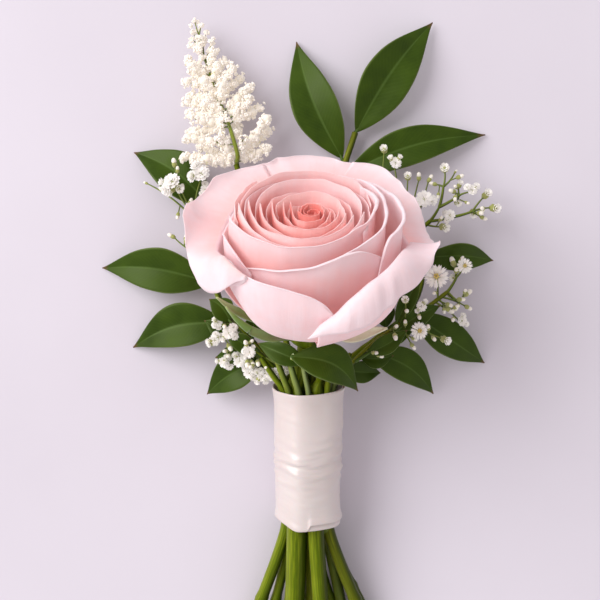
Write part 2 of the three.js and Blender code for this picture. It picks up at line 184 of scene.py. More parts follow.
def add_sheet(shape, grid, thickness, **values):
    """A thin closed sheet about a grid of points [row, column]. Its outer face looks along column x row."""
    rows, columns = grid.shape[:2]
    normal = unit(np.cross(np.gradient(grid, axis=1), np.gradient(grid, axis=0)))
    half = (np.broadcast_to(thickness, (rows, columns)) / 2)[..., None]
    count = rows * columns
    rim = [(0, c) for c in range(columns - 1)] + [(r, columns - 1) for r in range(rows - 1)]
    rim += [(rows - 1, c) for c in range(columns - 1, 0, -1)] + [(r, 0) for r in range(rows - 1, 0, -1)]
    rim = [r * columns + c for r, c in rim]
    faces = grid_faces(rows, columns) + grid_faces(rows, columns, flip=True, start=count)
    faces += [(a, a + count, b + count, b) for a, b in zip(rim, rim[1:] + rim[:1])]
    both = {name: np.tile(np.ravel(np.broadcast_to(v, (rows, columns))), 2) for name, v in values.items()}
    shape.add([grid + normal * half, grid - normal * half], faces, inside=np.repeat([0.0, 1.0], count), **both)


def sweep_sides(tangent):
    """Two sideways directions along a path, turning as little as they can."""
    side = np.cross(tangent[0], UP if abs(tangent[0][2]) < 0.9 else RIGHT)
    sides = []
    for t in tangent:
        side = unit(side - t * np.dot(side, t))
        sides.append(side)
    return np.array(sides), np.cross(tangent, sides)


def add_tube(shape, path, radii, sides=12, **values):
    """A closed round tube with bevelled ends, whose end faces have the value cut. lateral and upright say
    where a point lies round it."""
    path = np.asarray(path, float)
    count = len(path)
    radii = np.broadcast_to(radii, count).astype(float)
    tangent = unit(np.gradient(path, axis=0))
    start, end = 0.12 * radii[0], 0.12 * radii[-1]
    order = np.r_[0, 0, np.arange(count), count - 1, count - 1]
    right, over = (directions[order][:, None] for directions in sweep_sides(tangent))
    middle = np.zeros(count)
    centres = path[order] + tangent[order] * np.r_[-start, -start, middle, end, end][:, None]
    radius = radii[order] - np.r_[1.4 * start, start, middle, end, 1.4 * end]
    angle = np.linspace(0, TAU, sides, endpoint=False)
    ring = right * np.cos(angle)[:, None] + over * np.sin(angle)[:, None]
    rings = centres[:, None] + ring * radius[:, None, None]
    rows = len(order)
    first, last = rows * sides, rows * sides + 1
    faces = grid_faces(rows, sides, closed=True)
    for i in range(sides):
        j = (i + 1) % sides
        faces += [(j, i, first), (first - sides + i, first - sides + j, last)]
    values = {name: np.broadcast_to(value, count)[order] for name, value in values.items()}
    values.update(along=lengths_along(path)[order], cut=np.r_[1, 0, middle, 0, 1])
    values = {name: np.r_[np.repeat(value, sides), value[0], value[-1]] for name, value in values.items()}
    lateral, upright = (np.r_[np.tile(share, rows), 0, 0] for share in (np.cos(angle), np.sin(angle)))
    points = np.concatenate([rings.reshape(-1, 3), centres[:1], centres[-1:]])
    shape.add(points, faces, lateral=lateral, upright=upright, **values)


def make_piece(name, shape, material, slot, *replaced):
    """A piece of the object from a shape or a finished mesh, with its material and replaced nodes. slot is not
    used.
    """
    mesh = shape.mesh(name) if isinstance(shape, Shape) else shape
    piece = bpy.data.objects.new(name, mesh)
    bpy.context.scene.collection.objects.link(piece)
    mesh.materials.clear()
    mesh.materials.append(material)
    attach(piece, "root")
    if replaced:
        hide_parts(*replaced)
    return piece


# ---- Material building ----


class Nodes:
    """A node tree, with short ways to add nodes and to give each of their inputs a value or a link."""

    def __init__(self, tree):
        self.tree = tree

    def feed(self, socket, value):
        if isinstance(value, bpy.types.NodeSocket):
            self.tree.links.new(value, socket)
        elif value is not None:
            socket.default_value = value

    def node(self, kind, *given, settings=None, **inputs):
        """Inputs are given in order, or by name with _ for a space. None leaves an input as it is."""
        node = self.tree.nodes.new(kind)
        for key, value in (settings or {}).items():
            setattr(node, key, value)
        for i, value in enumerate(given):
            self.feed(node.inputs[i], value)
        for key, value in inputs.items():
            self.feed(node.inputs[key.replace("_", " ")], value)
        return node

    def math(self, operation, a, b=0.0):
        return self.node("ShaderNodeMath", a, b, settings={"operation": operation}).outputs[0]

    def times(self, a, b):
        return self.math("MULTIPLY", a, b)


class Finish(Nodes):
    """A material around one Principled BSDF, whose sockets are given by name."""

    def __init__(self, name, **sockets):
        self.material = bpy.data.materials.new(name)
        self.material.use_nodes = True
        super().__init__(self.material.node_tree)
        self.sockets = self.tree.nodes["Principled BSDF"].inputs
        for socket, value in sockets.items():
            self.sockets[socket.replace("_", " ")].default_value = value

    def value(self, name):
        return self.node("ShaderNodeAttribute", settings={"attribute_name": name}).outputs["Fac"]

    def place(self):
        coordinates = self.node("ShaderNodeTexCoord").outputs["Object"]
        return self.node("ShaderNodeMapping", Vector=coordinates).outputs["Vector"]

    def combined(self, *xyz):
        return self.node("ShaderNodeCombineXYZ", *xyz).outputs["Vector"]

    def speckle(self, vector, scale, detail=3.0):
        node = self.node("ShaderNodeTexNoise", Vector=vector, Scale=scale, Detail=detail, Roughness=0.5)
        return node.outputs[0]

    def ramp(self, factor, *stops):
        node = self.node("ShaderNodeValToRGB", factor)
        elements = node.color_ramp.elements
        while len(elements) < len(stops):
            elements.new(0.5)
        for element, (position, color) in zip(elements, stops):
            element.position = position
            element.color = (*(color if isinstance(color, tuple) else (color,) * 3), 1)
        return node.outputs["Color"]

    def blend(self, factor, a, b, kind="MIX"):
        node = self.node("ShaderNodeMix", factor, settings={"data_type": "RGBA", "blend_type": kind})
        for socket, color in ((node.inputs[6], a), (node.inputs[7], b)):
            self.feed(socket, (*color, 1) if isinstance(color, tuple) else color)
        return node.outputs[2]

    def done(self, color, bump=None, strength=0.0, depth=0.0):
        """Takes the base color and, where there is one, the bump's height, and gives the finished material."""
        self.feed(self.sockets["Base Color"], color)
        if bump is not None:
            bumpy = self.node("ShaderNodeBump", Height=bump, Strength=strength, Distance=depth)
            self.feed(self.sockets["Normal"], bumpy.outputs["Normal"])
        return self.material

    def stretched(self, z=0.0, **scales):
        """A place in a space made of the piece's own values, each scaled."""
        return self.combined(*(self.times(self.value(name), scale) for name, scale in scales.items()), z)


def petal_finish():
    # The weak pink emission is painted light that warms the petals' shade.
    finish = Finish(
        "rose petal", Roughness=0.5, Sheen_Weight=0.25, Sheen_Roughness=0.4, Subsurface_Weight=0.5,
        Subsurface_Radius=(1.0, 0.8, 0.75), Subsurface_Scale=0.0012, Emission_Color=(1.0, 0.52, 0.49, 1.0),
        Emission_Strength=0.07, Specular_IOR_Level=0.25,
    )
    cloudy = finish.speckle(finish.place(), 260.0, 2.0)
    veins = finish.speckle(finish.stretched(across=38.0, up=2.5), 1.0, 2.0)
    blush = finish.value("blush")
    for pattern, amount in ((cloudy, 0.16), (veins, 0.09)):
        blush = finish.math("ADD", blush, finish.times(finish.math("SUBTRACT", pattern, 0.5), amount))
    # The pink runs from pale at the rim to deep red; its darker end is partly painted shade at the petals'
    # feet and under the rings' rims.
    pink = finish.ramp(
        blush,
        (0.0, (0.8, 0.7, 0.76)),
        (0.2, (0.83, 0.63, 0.66)),
        (0.45, (0.89, 0.48, 0.465)),
        (0.72, (0.78, 0.2, 0.17)),
        (1.0, (0.4, 0.025, 0.015)),
    )
    return finish.done(pink, veins, 0.25, 0.0003)


def leaf_finish():
    finish = Finish("ruscus leaf", Specular_IOR_Level=0.28, Specular_Tint=(0.82, 1.0, 0.5, 1.0))
    across, up = finish.value("across"), finish.value("up")
    sideways = finish.math("ABSOLUTE", across)
    slant = finish.math("SUBTRACT", finish.times(up, 26.0), finish.times(sideways, 5.0))
    waves = finish.math("SINE", finish.times(slant, math.pi))
    side_veins = finish.math("POWER", finish.math("ABSOLUTE", waves), 8.0)
    mottle = finish.speckle(finish.place(), 170.0)
    midrib = finish.ramp(sideways, (0.0, 1.0), (0.035, 0.75), (0.08, 0.0))
    edge = finish.ramp(sideways, (0.93, 0.0), (0.995, 1.0))
    dry_tip = finish.ramp(up, (0.93, 0.0), (0.985, 1.0))
    green = finish.ramp(mottle, (0.3, (0.019, 0.041, 0.001)), (0.7, (0.033, 0.065, 0.002)))
    for mask, amount, color in (
        (side_veins, 0.035, (0.11, 0.2, 0.05)),
        (midrib, 0.2, (0.16, 0.26, 0.07)),
        (edge, 0.5, (0.16, 0.2, 0.06)),
        (finish.value("inside"), 0.75, (0.11, 0.17, 0.06)),
    ):
        green = finish.blend(finish.times(mask, amount), green, color)
    green = finish.blend(dry_tip, green, (0.12, 0.06, 0.03))
    finish.feed(finish.sockets["Roughness"], finish.ramp(mottle, (0.3, 0.33), (0.75, 0.5)))
    height = finish.math("SUBTRACT", finish.times(mottle, 0.35), finish.times(side_veins, 0.03))
    return finish.done(green, height, 0.5, 0.0004)


def stem_finish():
    finish = Finish(
        "green stem", Roughness=0.4, Specular_IOR_Level=0.35, Specular_Tint=(1.0, 1.0, 0.3, 1.0),
        Subsurface_Weight=0.1, Subsurface_Scale=0.001,
    )
    lateral, age = finish.value("lateral"), finish.value("age")
    turned = finish.math("ADD", finish.times(lateral, 2.2), age)
    streaks = finish.speckle(finish.stretched(along=0.07, upright=2.2, z=turned), 2.0)
    patches = finish.speckle(finish.place(), 90.0, 2.0)
    # Painted light and shade: each stem is darker on its right side and lighter on its left, as the window
    # light falls on it.
    painted_shade_side = finish.ramp(lateral, (0.0, 0.0), (0.7, 0.88))
    painted_light_side = finish.ramp(finish.times(lateral, -1.0), (0.2, 0.0), (0.8, 0.3))
    green = finish.ramp(
        streaks, (0.25, (0.024, 0.049, 0.0)), (0.5, (0.092, 0.134, 0.001)), (0.8, (0.26, 0.31, 0.012))
    )
    for mask, color in (
        (finish.times(patches, 0.35), (0.08, 0.14, 0.002)),
        (age, (0.085, 0.05, 0.008)),
        (finish.value("pale"), (0.34, 0.42, 0.22)),
        (painted_shade_side, (0.012, 0.027, 0.0)),
        (painted_light_side, (0.32, 0.36, 0.03)),
        (finish.value("cut"), (0.5, 0.58, 0.3)),
    ):
        green = finish.blend(mask, green, color)
    return finish.done(green, finish.math("ADD", streaks, finish.times(patches, 0.4)), 0.35, 0.0004)


def sepal_finish():
    finish = Finish("sepal", Roughness=0.55, Sheen_Weight=0.3)
    mottle = finish.speckle(finish.place(), 400.0)
    green = finish.ramp(
        finish.value("up"),
        (0.0, (0.1, 0.19, 0.012)),
        (0.6, (0.14, 0.25, 0.02)),
        (0.8, (0.56, 0.62, 0.28)),
        (1.0, (0.82, 0.79, 0.6)),
    )
    green = finish.blend(finish.times(mottle, 0.25), green, (0.1, 0.16, 0.04))
    green = finish.blend(finish.times(finish.value("inside"), 0.16), green, (0.5, 0.56, 0.3))
    return finish.done(green, mottle, 0.3, 0.0003)


def blossom_finish(name, petal, throat, painted_glow):
    """tone 0 is petal, 1 is the yellow-green throat, 2 is the calyx and stalk."""
    # The weak cream emission is painted light that lifts the blossoms' shade.
    finish = Finish(
        name, Roughness=0.6, Sheen_Weight=0.2, Emission_Color=(1.0, 0.92, 0.84, 1.0), Emission_Strength=painted_glow,
        Subsurface_Weight=0.3, Subsurface_Radius=(1.0, 0.9, 0.7), Subsurface_Scale=0.001,
    )
    mottle = finish.speckle(finish.place(), 900.0, 2.0)
    tone = finish.times(finish.value("tone"), 0.5)
    color = finish.ramp(tone, (0.0, petal), (0.5, throat), (1.0, (0.2, 0.28, 0.06)))
    return finish.done(finish.blend(finish.times(mottle, 0.12), color, (0.75, 0.66, 0.45), "MULTIPLY"))


def satin_finish():
    finish = Finish(
        "ivory satin", Roughness=0.36, Sheen_Weight=0.1, Anisotropic=0.35, Specular_IOR_Level=1.0,
        Subsurface_Weight=0.08, Subsurface_Scale=0.001,
    )
    threads = finish.speckle(finish.stretched(up=240.0, across=4.0), 1.0, 1.0)
    cross_threads = finish.speckle(finish.stretched(across=420.0, up=9.0, z=3.0), 1.0, 1.0)
    cloud = finish.speckle(finish.place(), 60.0, 2.0)
    ivory = finish.ramp(cloud, (0.3, (0.62, 0.53, 0.51)), (0.7, (0.68, 0.6, 0.585)))
    ivory = finish.blend(finish.times(threads, 0.1), ivory, (0.8, 0.68, 0.62), "MULTIPLY")
    return finish.done(ivory, finish.math("ADD", threads, finish.times(cross_threads, 0.5)), 0.12, 0.00012)


def tape_finish():
    finish = Finish("stem tape", Roughness=0.75)
    crepe = finish.speckle(finish.stretched(along=1.6, upright=1.0), 3.0)
    green = finish.ramp(crepe, (0.3, (0.055, 0.1, 0.03)), (0.7, (0.09, 0.16, 0.05)))
    return finish.done(green, crepe, 0.4, 0.0004)


PETAL = petal_finish()
LEAF_GREEN = leaf_finish()
STEM_GREEN = stem_finish()
SEPAL_GREEN = sepal_finish()
WHITE_BLOSSOM = blossom_finish("baby's breath blossom", (0.95, 0.93, 0.91), (0.6, 0.45, 0.07), 0.04)
CREAM_FLORET = blossom_finish("astilbe floret", (0.84, 0.78, 0.71), (0.68, 0.62, 0.34), 0.15)
SATIN = satin_finish()
CREPE = tape_finish()

# ---- Rose ----

ROSE_SEAT = np.array([2, -5, 24.5])
ROSE_LEAN = math.radians(52)
ROSE_SWAY = 0.026  # how far the rose leans to its right per unit of height
ROSE_AXIS = np.array([ROSE_SWAY, math.sin(ROSE_LEAN), math.cos(ROSE_LEAN)])
ROSE_FRONT = np.array([0, -math.cos(ROSE_LEAN), math.sin(ROSE_LEAN)])
ROSE_HEIGHT = 34
LIP_ROLL = 130  # degrees that a petal's lip rolls outwards
PALE_TO_REAR = 90  # degrees from the front, past which a petal's rim is thin and plain


def in_rose(azimuth, radius, height):
    """Points of the rose, from degrees round it from its front, a radius and a height above the hip."""
    azimuth, radius, height = (np.asarray(v, float)[..., None] for v in (azimuth, radius, height))
    turn = np.radians(azimuth)
    return ROSE_SEAT + ROSE_AXIS * height + radius * (ROSE_FRONT * np.cos(turn) + RIGHT * np.sin(turn))


def cup(height):
    """How wide a petal's bowl has grown at a height, as a share of its full width."""
    t = height / ROSE_HEIGHT
    return (1 - (1 - t) ** 3) * (1 - 0.08 * t * t) / 0.92


def petal_edge(points, columns):
    """Evenly spaced points along an edge given as [azimuth, radius, height]."""
    scale = [math.radians(np.mean([point[1] for point in points])), 1, 1]
    return scale, spline(np.array(points, float) * scale, columns - 1) / scale


def add_petal(
    shape, rim, base, claw, depth, deep, pale_rim, thickness, seed, columns, rows, lip=0.0, fold=None,
    ruffle=0.35, flare=0.0, flare_from=0.35, shelf=0.0, spread=(0.02, 0.55), under_rim=None,
):
    """A petal from a claw at the hip to its rim, given as [azimuth, radius, height]. Its lip rolls outwards,
    or folds over down to a second edge given like the rim. depth is its own pink, and deep how
    much darker its foot is, partly its own colour and partly painted shade. under_rim paints shade on
    the petal below its rim's edge."""
    scale, edge = petal_edge(rim, columns)
    s = np.linspace(-1, 1, columns)[None]
    t = np.linspace(0, 1, rows)[:, None]
    waves = ripple(s * 2.1 + seed, 0.0, seed) + 0.45 * ripple(s * 6.3, 2.0, seed)
    radius_end = edge[None, :, 1] + ruffle * waves
    height_end = edge[None, :, 2] + 0.8 * ruffle * ripple(s * 4.7, 5.0, seed + 3)
    centre = 0.5 * (edge[0, 0] + edge[-1, 0])
    turned = mix(centre + claw * s, edge[None, :, 0], smooth(t, *spread))
    height = mix(0.5, height_end, t)
    flare = np.broadcast_to(flare(edge[:, 0]) if callable(flare) else flare, (1, columns))
    bowl = (radius_end - flare - base) * cup(height) / cup(height_end)
    radius = base + bowl + flare * smooth(t, flare_from, 1) ** 1.4
    radius = radius + 0.35 * ruffle * ripple(s * 3.0 + 0.03 * turned, t * 4.0, seed + 9) * smooth(t, 0.1, 0.5)
    grid = in_rose(turned, radius, height)
    # The foot's extra pink is partly its own colour and partly painted shade; below the rim's edge the rings
    # add painted shade.
    blush = depth + deep * (1 - t) ** 1.3 - pale_rim * smooth(t, 0.8, 1) + 0 * s
    if under_rim:
        blush = blush + under_rim(edge[None, :, 0]) * smooth(1 - t, 0.015, 0.14)
    if fold:
        far = spline(np.array(fold, float) * scale, columns - 1) / scale
        far[:, 1] += 0.25 - 1.3 * np.abs(ripple(s[0] * 4.6, 3.0, seed + 40))
        u = np.linspace(0, 1, 17)[1:, None]
        wave = 0.5 * ruffle * ripple(s * 3.5, u * 1.5, seed + 20) * np.sin(math.pi * np.minimum(u, 0.8))
        lip_points = in_rose(
            mix(turned[-1:], far[None, :, 0], u),
            mix(radius[-1:], far[None, :, 1], np.sin(u * math.pi / 2)) + wave,
            mix(height[-1:], far[None, :, 2], 1 - np.cos(u * math.pi / 2)),
        )
        lip_blush = depth - pale_rim * u + 0.26 * (1 - u) ** 1.5 * shelf + 0 * s
    else:
        out = unit(in_rose(turned[-1], radius[-1] + 1, height[-1]) - grid[-1])
        ahead = unit(grid[-1] - grid[-2])
        out = unit(out - ahead * np.sum(out * ahead, axis=-1, keepdims=True))
        angles = np.radians(np.linspace(0, LIP_ROLL, 6)[1:])[:, None, None]
        lip = np.interp(edge[:, 0], *zip(*lip)) if isinstance(lip, list) else lip
        size = lip * (1 - np.abs(s[0]) ** 8) * (1 + 0.35 * ripple(s[0] * 5.0, 1.0, seed + 30))
        lip_points = grid[-1] + size[None, :, None] * (out * (1 - np.cos(angles)) + ahead * np.sin(angles))
        lip_blush = np.full((5, columns), depth - pale_rim - 0.05)
    grid = np.concatenate([grid, lip_points])
    up = np.linspace(0, 1, len(grid))[:, None]
    thin = mix(thickness, 0.45 * thickness, smooth(up, 0.7, 1))
    add_sheet(shape, grid, thin, across=(s + 1) / 2 + seed, up=up, blush=np.concatenate([blush, lip_blush]))


def rose_piece(name, nodes, petals, slot="rose_petal"):
    shape = Shape()
    for petal in petals:
        add_petal(shape, **petal)
    make_piece(name, shape, PETAL, slot, *nodes)


def numbered(name, count):
    return [f"{name}_{i + 1}" for i in range(count)]


def ring_lean(azimuth):
    """The rings' petals lean in at the front of the rose and open at its back."""
    return mix(-0.9, 1.2, (1 - np.cos(np.radians(azimuth))) / 2)


def ring_petal(start, end, left, right, height, cusp, sag=0.0, **look):
    """A petal of a ring whose rim passes at the radius left on the rose's left and right on its right. It
    rises to a pointed corner at its start and end by cusp, and dips between them by sag."""
    rim = []
    for s in np.linspace(0, 1, 19):
        azimuth = mix(start, end, s)
        radius = (left + right) / 2 + (right - left) / 2 * math.sin(math.radians(azimuth)) + 0.7 * (0.5 - s)
        corner = max(0.0, 1 - s / 0.17) ** 1.4 + 0.6 * max(0.0, 1 - (1 - s) / 0.14) ** 2
        dip = sag * math.sin(math.pi * s) ** 1.5
        rim.append((azimuth, radius + 0.3 * corner - 0.15 * dip, height + cusp * corner - dip))
    return dict(look, rim=rim, flare=ring_lean, flare_from=0.72)


def back_painted_shade(azimuth):
    """Painted shade under the rims of the rings' back petals, strongest behind the pointed corners at the
    rose's left.
    """
    return 0.03 + 0.5 * bell(azimuth, 274, 42)


def front_painted_shade(azimuth):
    """Painted shade under the rims of the rings' front petals, strongest just inside their pointed corners."""
    return 0.5 * bell(azimuth, -80, 30)


# The heart's petals: start, end, radius on the left and on the right.
HEART_PETALS = [
    (-60, 110, 0.9, 0.8), (70, 260, 1.3, 1.2), (200, 400, 1.9, 1.6), (-80, 90, 2.6, 2.0), (60, 275, 2.9, 2.2),
]

# Rings from the inside out: radius on the left, radius on the right, height of the rim, azimuth of the front
# petal's pointed corner, and how far that petal dips.
RINGS = [
    (4.4, 3.0, 31.6, -95, 0.0), (6.2, 4.7, 32.0, -87, 1.5), (8.7, 6.5, 32.3, -88, 0.2),
    (11.4, 8.4, 32.7, -82, 1.7), (13.9, 10.3, 33.0, -86, 0.1), (16.2, 12.2, 33.2, -82, 1.3),
]


def heart_petal(i, start, end, left, right):
    return ring_petal(
        start, end, left, right, 31.3 + 0.25 * i, 0.3, base=0.5 + 0.2 * i, seed=40 + i, depth=0.95 - 0.04 * i,
        deep=0.45, lip=0.08, ruffle=0.15, columns=26, rows=12, claw=40, pale_rim=0.1, thickness=0.25,
    )


def ring_pair(index, depth):
    left, right, height, corner, sag = RINGS[index]
    turn = random.Random(index).uniform(-11, 11)
    look = dict(columns=64, rows=18, claw=60)
    front = ring_petal(
        corner, 66 + turn, left, right, height, 2.7, sag, base=0.32 * left, seed=60 + index, depth=depth,
        deep=0.3, lip=0.1, pale_rim=0.12, thickness=0.2, ruffle=0.3, under_rim=front_painted_shade, **look,
    )
    back_sag = 2.3 if index % 2 else 0.3
    back = ring_petal(
        52 + turn, 372 + corner, left - 0.5, right + 0.6, height, -1.6, back_sag, base=0.3 * left,
        seed=80 + index, depth=depth - 0.18, deep=0.2, lip=0.03, pale_rim=0.0, thickness=0.15, ruffle=0.6,
        under_rim=back_painted_shade, **look,
    )
    return [front, back]


heart = [heart_petal(i, *petal) for i, petal in enumerate(HEART_PETALS)]
rose_piece("rose_heart_petals", ["rose_heart"], heart, "rose_petal_inner")
for kind, first, depth, step in (("inner", 0, 0.7, 0.05), ("cup", 3, 0.55, 0.06)):
    petals = [petal for i in range(3) for petal in ring_pair(first + i, depth - step * i)]
    rose_piece(f"rose_{kind}_petals", numbered(f"{kind}_petal", 5), petals, "rose_petal_inner")

# The three whorls round the rings: how many nodes each has, its look, and each petal's rim with its lip at
# azimuths along it.
WHORLS = {
    "bowl": (4, dict(base=4, depth=0.36, deep=0.6, pale_rim=0.12), [
        ([(-82, 18.9, 32.6), (-62, 18.4, 33), (-48, 18, 33), (-30, 17.1, 33), (-13, 16, 33), (14, 14.5, 33),
          (44, 13, 33), (63, 13.5, 33), (87, 13.9, 33.5), (102, 14.2, 33.5), (125, 13.5, 33.4)],
         [(-82, 0.6), (-60, 0.4), (-30, 0.22), (0, 0.18), (60, 0.22), (82, 0.55), (108, 0.55), (124, 0.2)]),
        ([(95, 13.2, 33), (140, 14.4, 33.2), (185, 15, 33.2), (225, 15.6, 33.4), (262, 16.4, 33)], 0.05),
        ([(228, 17.6, 32.6), (255, 17.8, 32.8), (285, 17.4, 32)], 0.05),
    ]),
    "shoulder": (3, dict(base=4.7, depth=0.3, deep=0.3, pale_rim=0.14), [
        ([(-2, 18.0, 26), (10, 18.0, 29), (20, 17.9, 31.3), (31, 17.6, 32.4), (56, 17.4, 33), (77, 16.6, 33),
          (100, 16.4, 33), (120, 16.5, 33), (140, 16.2, 32.8)],
         [(-2, 0.15), (40, 0.35), (90, 0.45), (140, 0.2)]),
        ([(-64, 20.6, 25), (-50, 20.2, 25.5), (-40, 20, 27), (-30, 20, 28), (-15, 19.8, 29.4), (0, 19.6, 30.5),
          (12, 19.3, 31.8), (22, 18.9, 32.4), (30, 18.9, 32.4), (37, 19.2, 31.4), (45, 19.5, 29.6),
          (53, 19.8, 27), (60, 19.8, 23.5)],
         [(-60, 0.3), (-20, 0.6), (25, 0.5), (50, 0.2)]),
        ([(120, 17.0, 31.8), (160, 17, 31.4), (200, 17.4, 31.2), (240, 18.4, 31.2)], 0.05),
    ]),
    "skirt": (3, dict(base=5.4, depth=0.26, deep=0.25, pale_rim=0.1), [
        ([(44, 20.4, 21), (48, 20.3, 26), (52, 20.1, 30.2), (58, 19.8, 32), (66, 20, 32.2), (76, 20.3, 32),
          (88, 20.2, 32), (104, 19.2, 32), (120, 18.4, 31.8), (142, 18.4, 31)],
         [(46, 0.2), (60, 0.5), (90, 0.55), (140, 0.2)]),
        ([(-140, 18.8, 27), (-115, 18.7, 27), (-92, 19, 27.4), (-81, 19.9, 28), (-73, 20.6, 29.2),
          (-65, 20.9, 29.4), (-56, 21, 28.8), (-48, 21, 27.6), (-40, 21, 26)],
         [(-80, 0.2), (-60, 0.35), (-40, 0.2)]),
        ([(130, 19.6, 30.2), (165, 19.6, 29.4), (200, 19.6, 29.4), (235, 19.6, 29.6)], 0.05),
    ]),
}
for whorl, (kind, (nodes, look, rims)) in enumerate(WHORLS.items()):
    petals = []
    for i, (rim, lip) in enumerate(rims):
        span = rim[-1][0] - rim[0][0]
        petal = dict(look, rim=rim, lip=lip, claw=0.22 * span, seed=100 + 10 * whorl + i, rows=24)
        petal.update(columns=max(28, int(span * 0.6)), thickness=0.21)
        if rim[0][0] > PALE_TO_REAR:
            petal.update(pale_rim=0.0, thickness=0.18)
        petals.append(petal)
    rose_piece(f"rose_{kind}_petals", numbered(f"{kind}_petal", nodes), petals)

OUTER_PETALS = {
    "front_left": dict(
        rim=[(-78, 22.6, 20), (-71, 22.8, 23), (-62, 23.4, 26.4), (-54, 24, 28.6), (-48, 24.4, 29.9),
             (-41, 24.8, 29.2), (-31, 25, 28.6), (-19, 25, 28.4), (-5, 25, 27.2), (5, 25, 24.8),
             (11, 25, 21.4)],
        claw=36, lip=0.25, depth=0.2, deep=0.14, flare=lambda azimuth: 2.2 * smooth(-azimuth, 30, 58),
    ),
    "front_right": dict(
        rim=[(4, 25.6, 19), (11, 25.4, 21.6), (18, 25.2, 24.5), (27, 25.2, 27.6), (38, 24.9, 29.4),
             (49, 24.2, 30.2), (58, 23.4, 29.6), (68, 22.8, 27.8), (80, 22.8, 26)],
        fold=[(-2, 28, 17.6), (8, 28.6, 18.6), (16, 28.6, 18.9), (25, 28.6, 19.6), (34, 28.8, 22),
              (44, 29, 23.8), (56, 29.2, 24.4), (66, 29.4, 26.6), (79, 29.4, 27.8)],
        claw=34, depth=0.17, deep=0.24, flare=-2.2,
    ),
    "right": dict(
        rim=[(62, 22.8, 25), (72, 22.6, 24.4), (84, 22.2, 24), (98, 21.4, 23.4), (112, 20.6, 24),
             (126, 20.4, 25.8), (140, 20.6, 27.2), (160, 20.8, 28)],
        fold=[(66, 28.4, 25), (78, 28.4, 25.6), (90, 28.4, 23), (104, 28.2, 20.8), (116, 28.2, 25.6),
              (128, 28, 27.6), (141, 27.8, 29.6), (158, 26.8, 29.6)],
        claw=30, depth=0.17, deep=0.3, shelf=1.0,
    ),
    "back": dict(
        rim=[(132, 22.4, 25.6), (145, 22, 26.6), (157, 21.4, 27.6), (168, 20.9, 28.2), (182, 20.8, 28.4),
             (196, 20.9, 28.2), (208, 22.2, 27), (224, 23.2, 26)],
        fold=[(134, 26.2, 26.6), (146, 26.8, 28), (157, 26.8, 28.9), (172, 26.8, 29.7), (188, 27, 30.1),
              (200, 27, 30), (209, 27, 28.6), (222, 26.6, 27)],
        claw=26, depth=0.17, deep=0.3, shelf=1.0,
    ),
    "left": dict(
        rim=[(-154, 21.2, 28), (-140, 20.8, 27.4), (-124, 20.4, 26.8), (-108, 20.2, 26), (-93, 20.6, 25.6),
             (-82, 21.6, 25.4), (-73, 22.4, 26), (-65, 22.9, 27.4), (-58, 23.7, 28.8), (-51, 24.5, 30.3),
             (-44, 25, 30.1), (-39, 25.3, 29.5), (-34, 25.4, 29)],
        fold=[(-156, 27, 29.4), (-142, 28.4, 28.9), (-128, 29, 29.8), (-115, 28.9, 28.2), (-104, 29.1, 29.6),
              (-95, 29.4, 32), (-87, 29.2, 29), (-76, 28.9, 25.2), (-64, 28.5, 21.9), (-57, 28, 20.4),
              (-51, 27.5, 21.6), (-46, 26.9, 23.8), (-41, 26.3, 26.4), (-35, 25.9, 28.3)],
        claw=30, spread=(0.55, 1.0), depth=0.18, deep=0.34, shelf=1.0,
        flare=lambda azimuth: 2.4 * smooth(azimuth, -112, -84),
    ),
}
for i, (name, petal) in enumerate(OUTER_PETALS.items()):
    petal.update(base=6.1, seed=140 + i, columns=72, rows=24, pale_rim=0.03, ruffle=0.34, thickness=0.27)
    rose_piece(f"rose_outer_petal_{name}", [f"outer_petal_{name}"], [petal])

# ---- Stems ----

HANDLE_ALONG = np.array([0, math.cos(HANDLE_RISE), math.sin(HANDLE_RISE)])
HANDLE_UP = np.array([0, -math.sin(HANDLE_RISE), math.cos(HANDLE_RISE)])
STRAIGHT = [-18, -14.5, 0, 14.5, 18]


def in_handle(across, up, along):
    across, up, along = (np.asarray(v, float)[..., None] for v in (across, up, along))
    return HANDLE_MIDDLE + across * RIGHT + up * HANDLE_UP + along * HANDLE_ALONG


class Stem:
    """A stem from its cut foot, through its place in the handle, and on along its way to its upper end."""

    def __init__(self, place, radius, end_radius, foot, *way, age=0.0, slim=True):
        bound = [in_handle(*place, along) for along in STRAIGHT]
        self.path = spline(np.vstack([[foot], bound, way]), 150)
        self.far = lengths_along(self.path)
        self.share = self.far / self.far[-1]
        self.age = age
        free = np.linalg.norm(bound[-1] - np.array(foot)) / self.far[-1]
        self.radii = mix(radius, end_radius, smooth(self.share, free, mix(free, 1, 0.2) if slim else 1))

    def at(self, share):
        return np.array([np.interp(share, self.share, self.path[:, k]) for k in range(3)])

    def heading(self, share):
        return unit(self.at(min(share + 0.01, 1)) - self.at(max(share - 0.01, 0)))

    def radius(self, share):
        return float(np.interp(share, self.share, self.radii))

    def add_to(self, shape, nodes, seed, upto=1.0, hip=None):
        """The stem swells at nodes, as shares of the way up. hip gives the heights and radii of a hip."""
        kept = self.share <= upto
        path = self.path[kept]
        radii = self.radii[kept] * (1 + 0.035 * ripple(self.far[kept] * 0.12, 0.0, seed))
        for node in nodes:
            radii += 0.16 * self.radius(node) * bell((self.share[kept] - node) * self.far[-1], 0, 1.1)
        if hip:
            heights, hip_radii = np.array(hip).T
            fine = np.linspace(heights[0], heights[-1], 16)
            path = path[path @ ROSE_AXIS < (ROSE_SEAT + ROSE_AXIS * heights[0]) @ ROSE_AXIS - 0.3]
            radii = np.r_[radii[: len(path)], np.interp(fine, heights, hip_radii)]
            path = np.vstack([path, in_rose(0 * fine, 0 * fine, fine)])
        add_tube(shape, path, radii, sides=20, age=self.age)


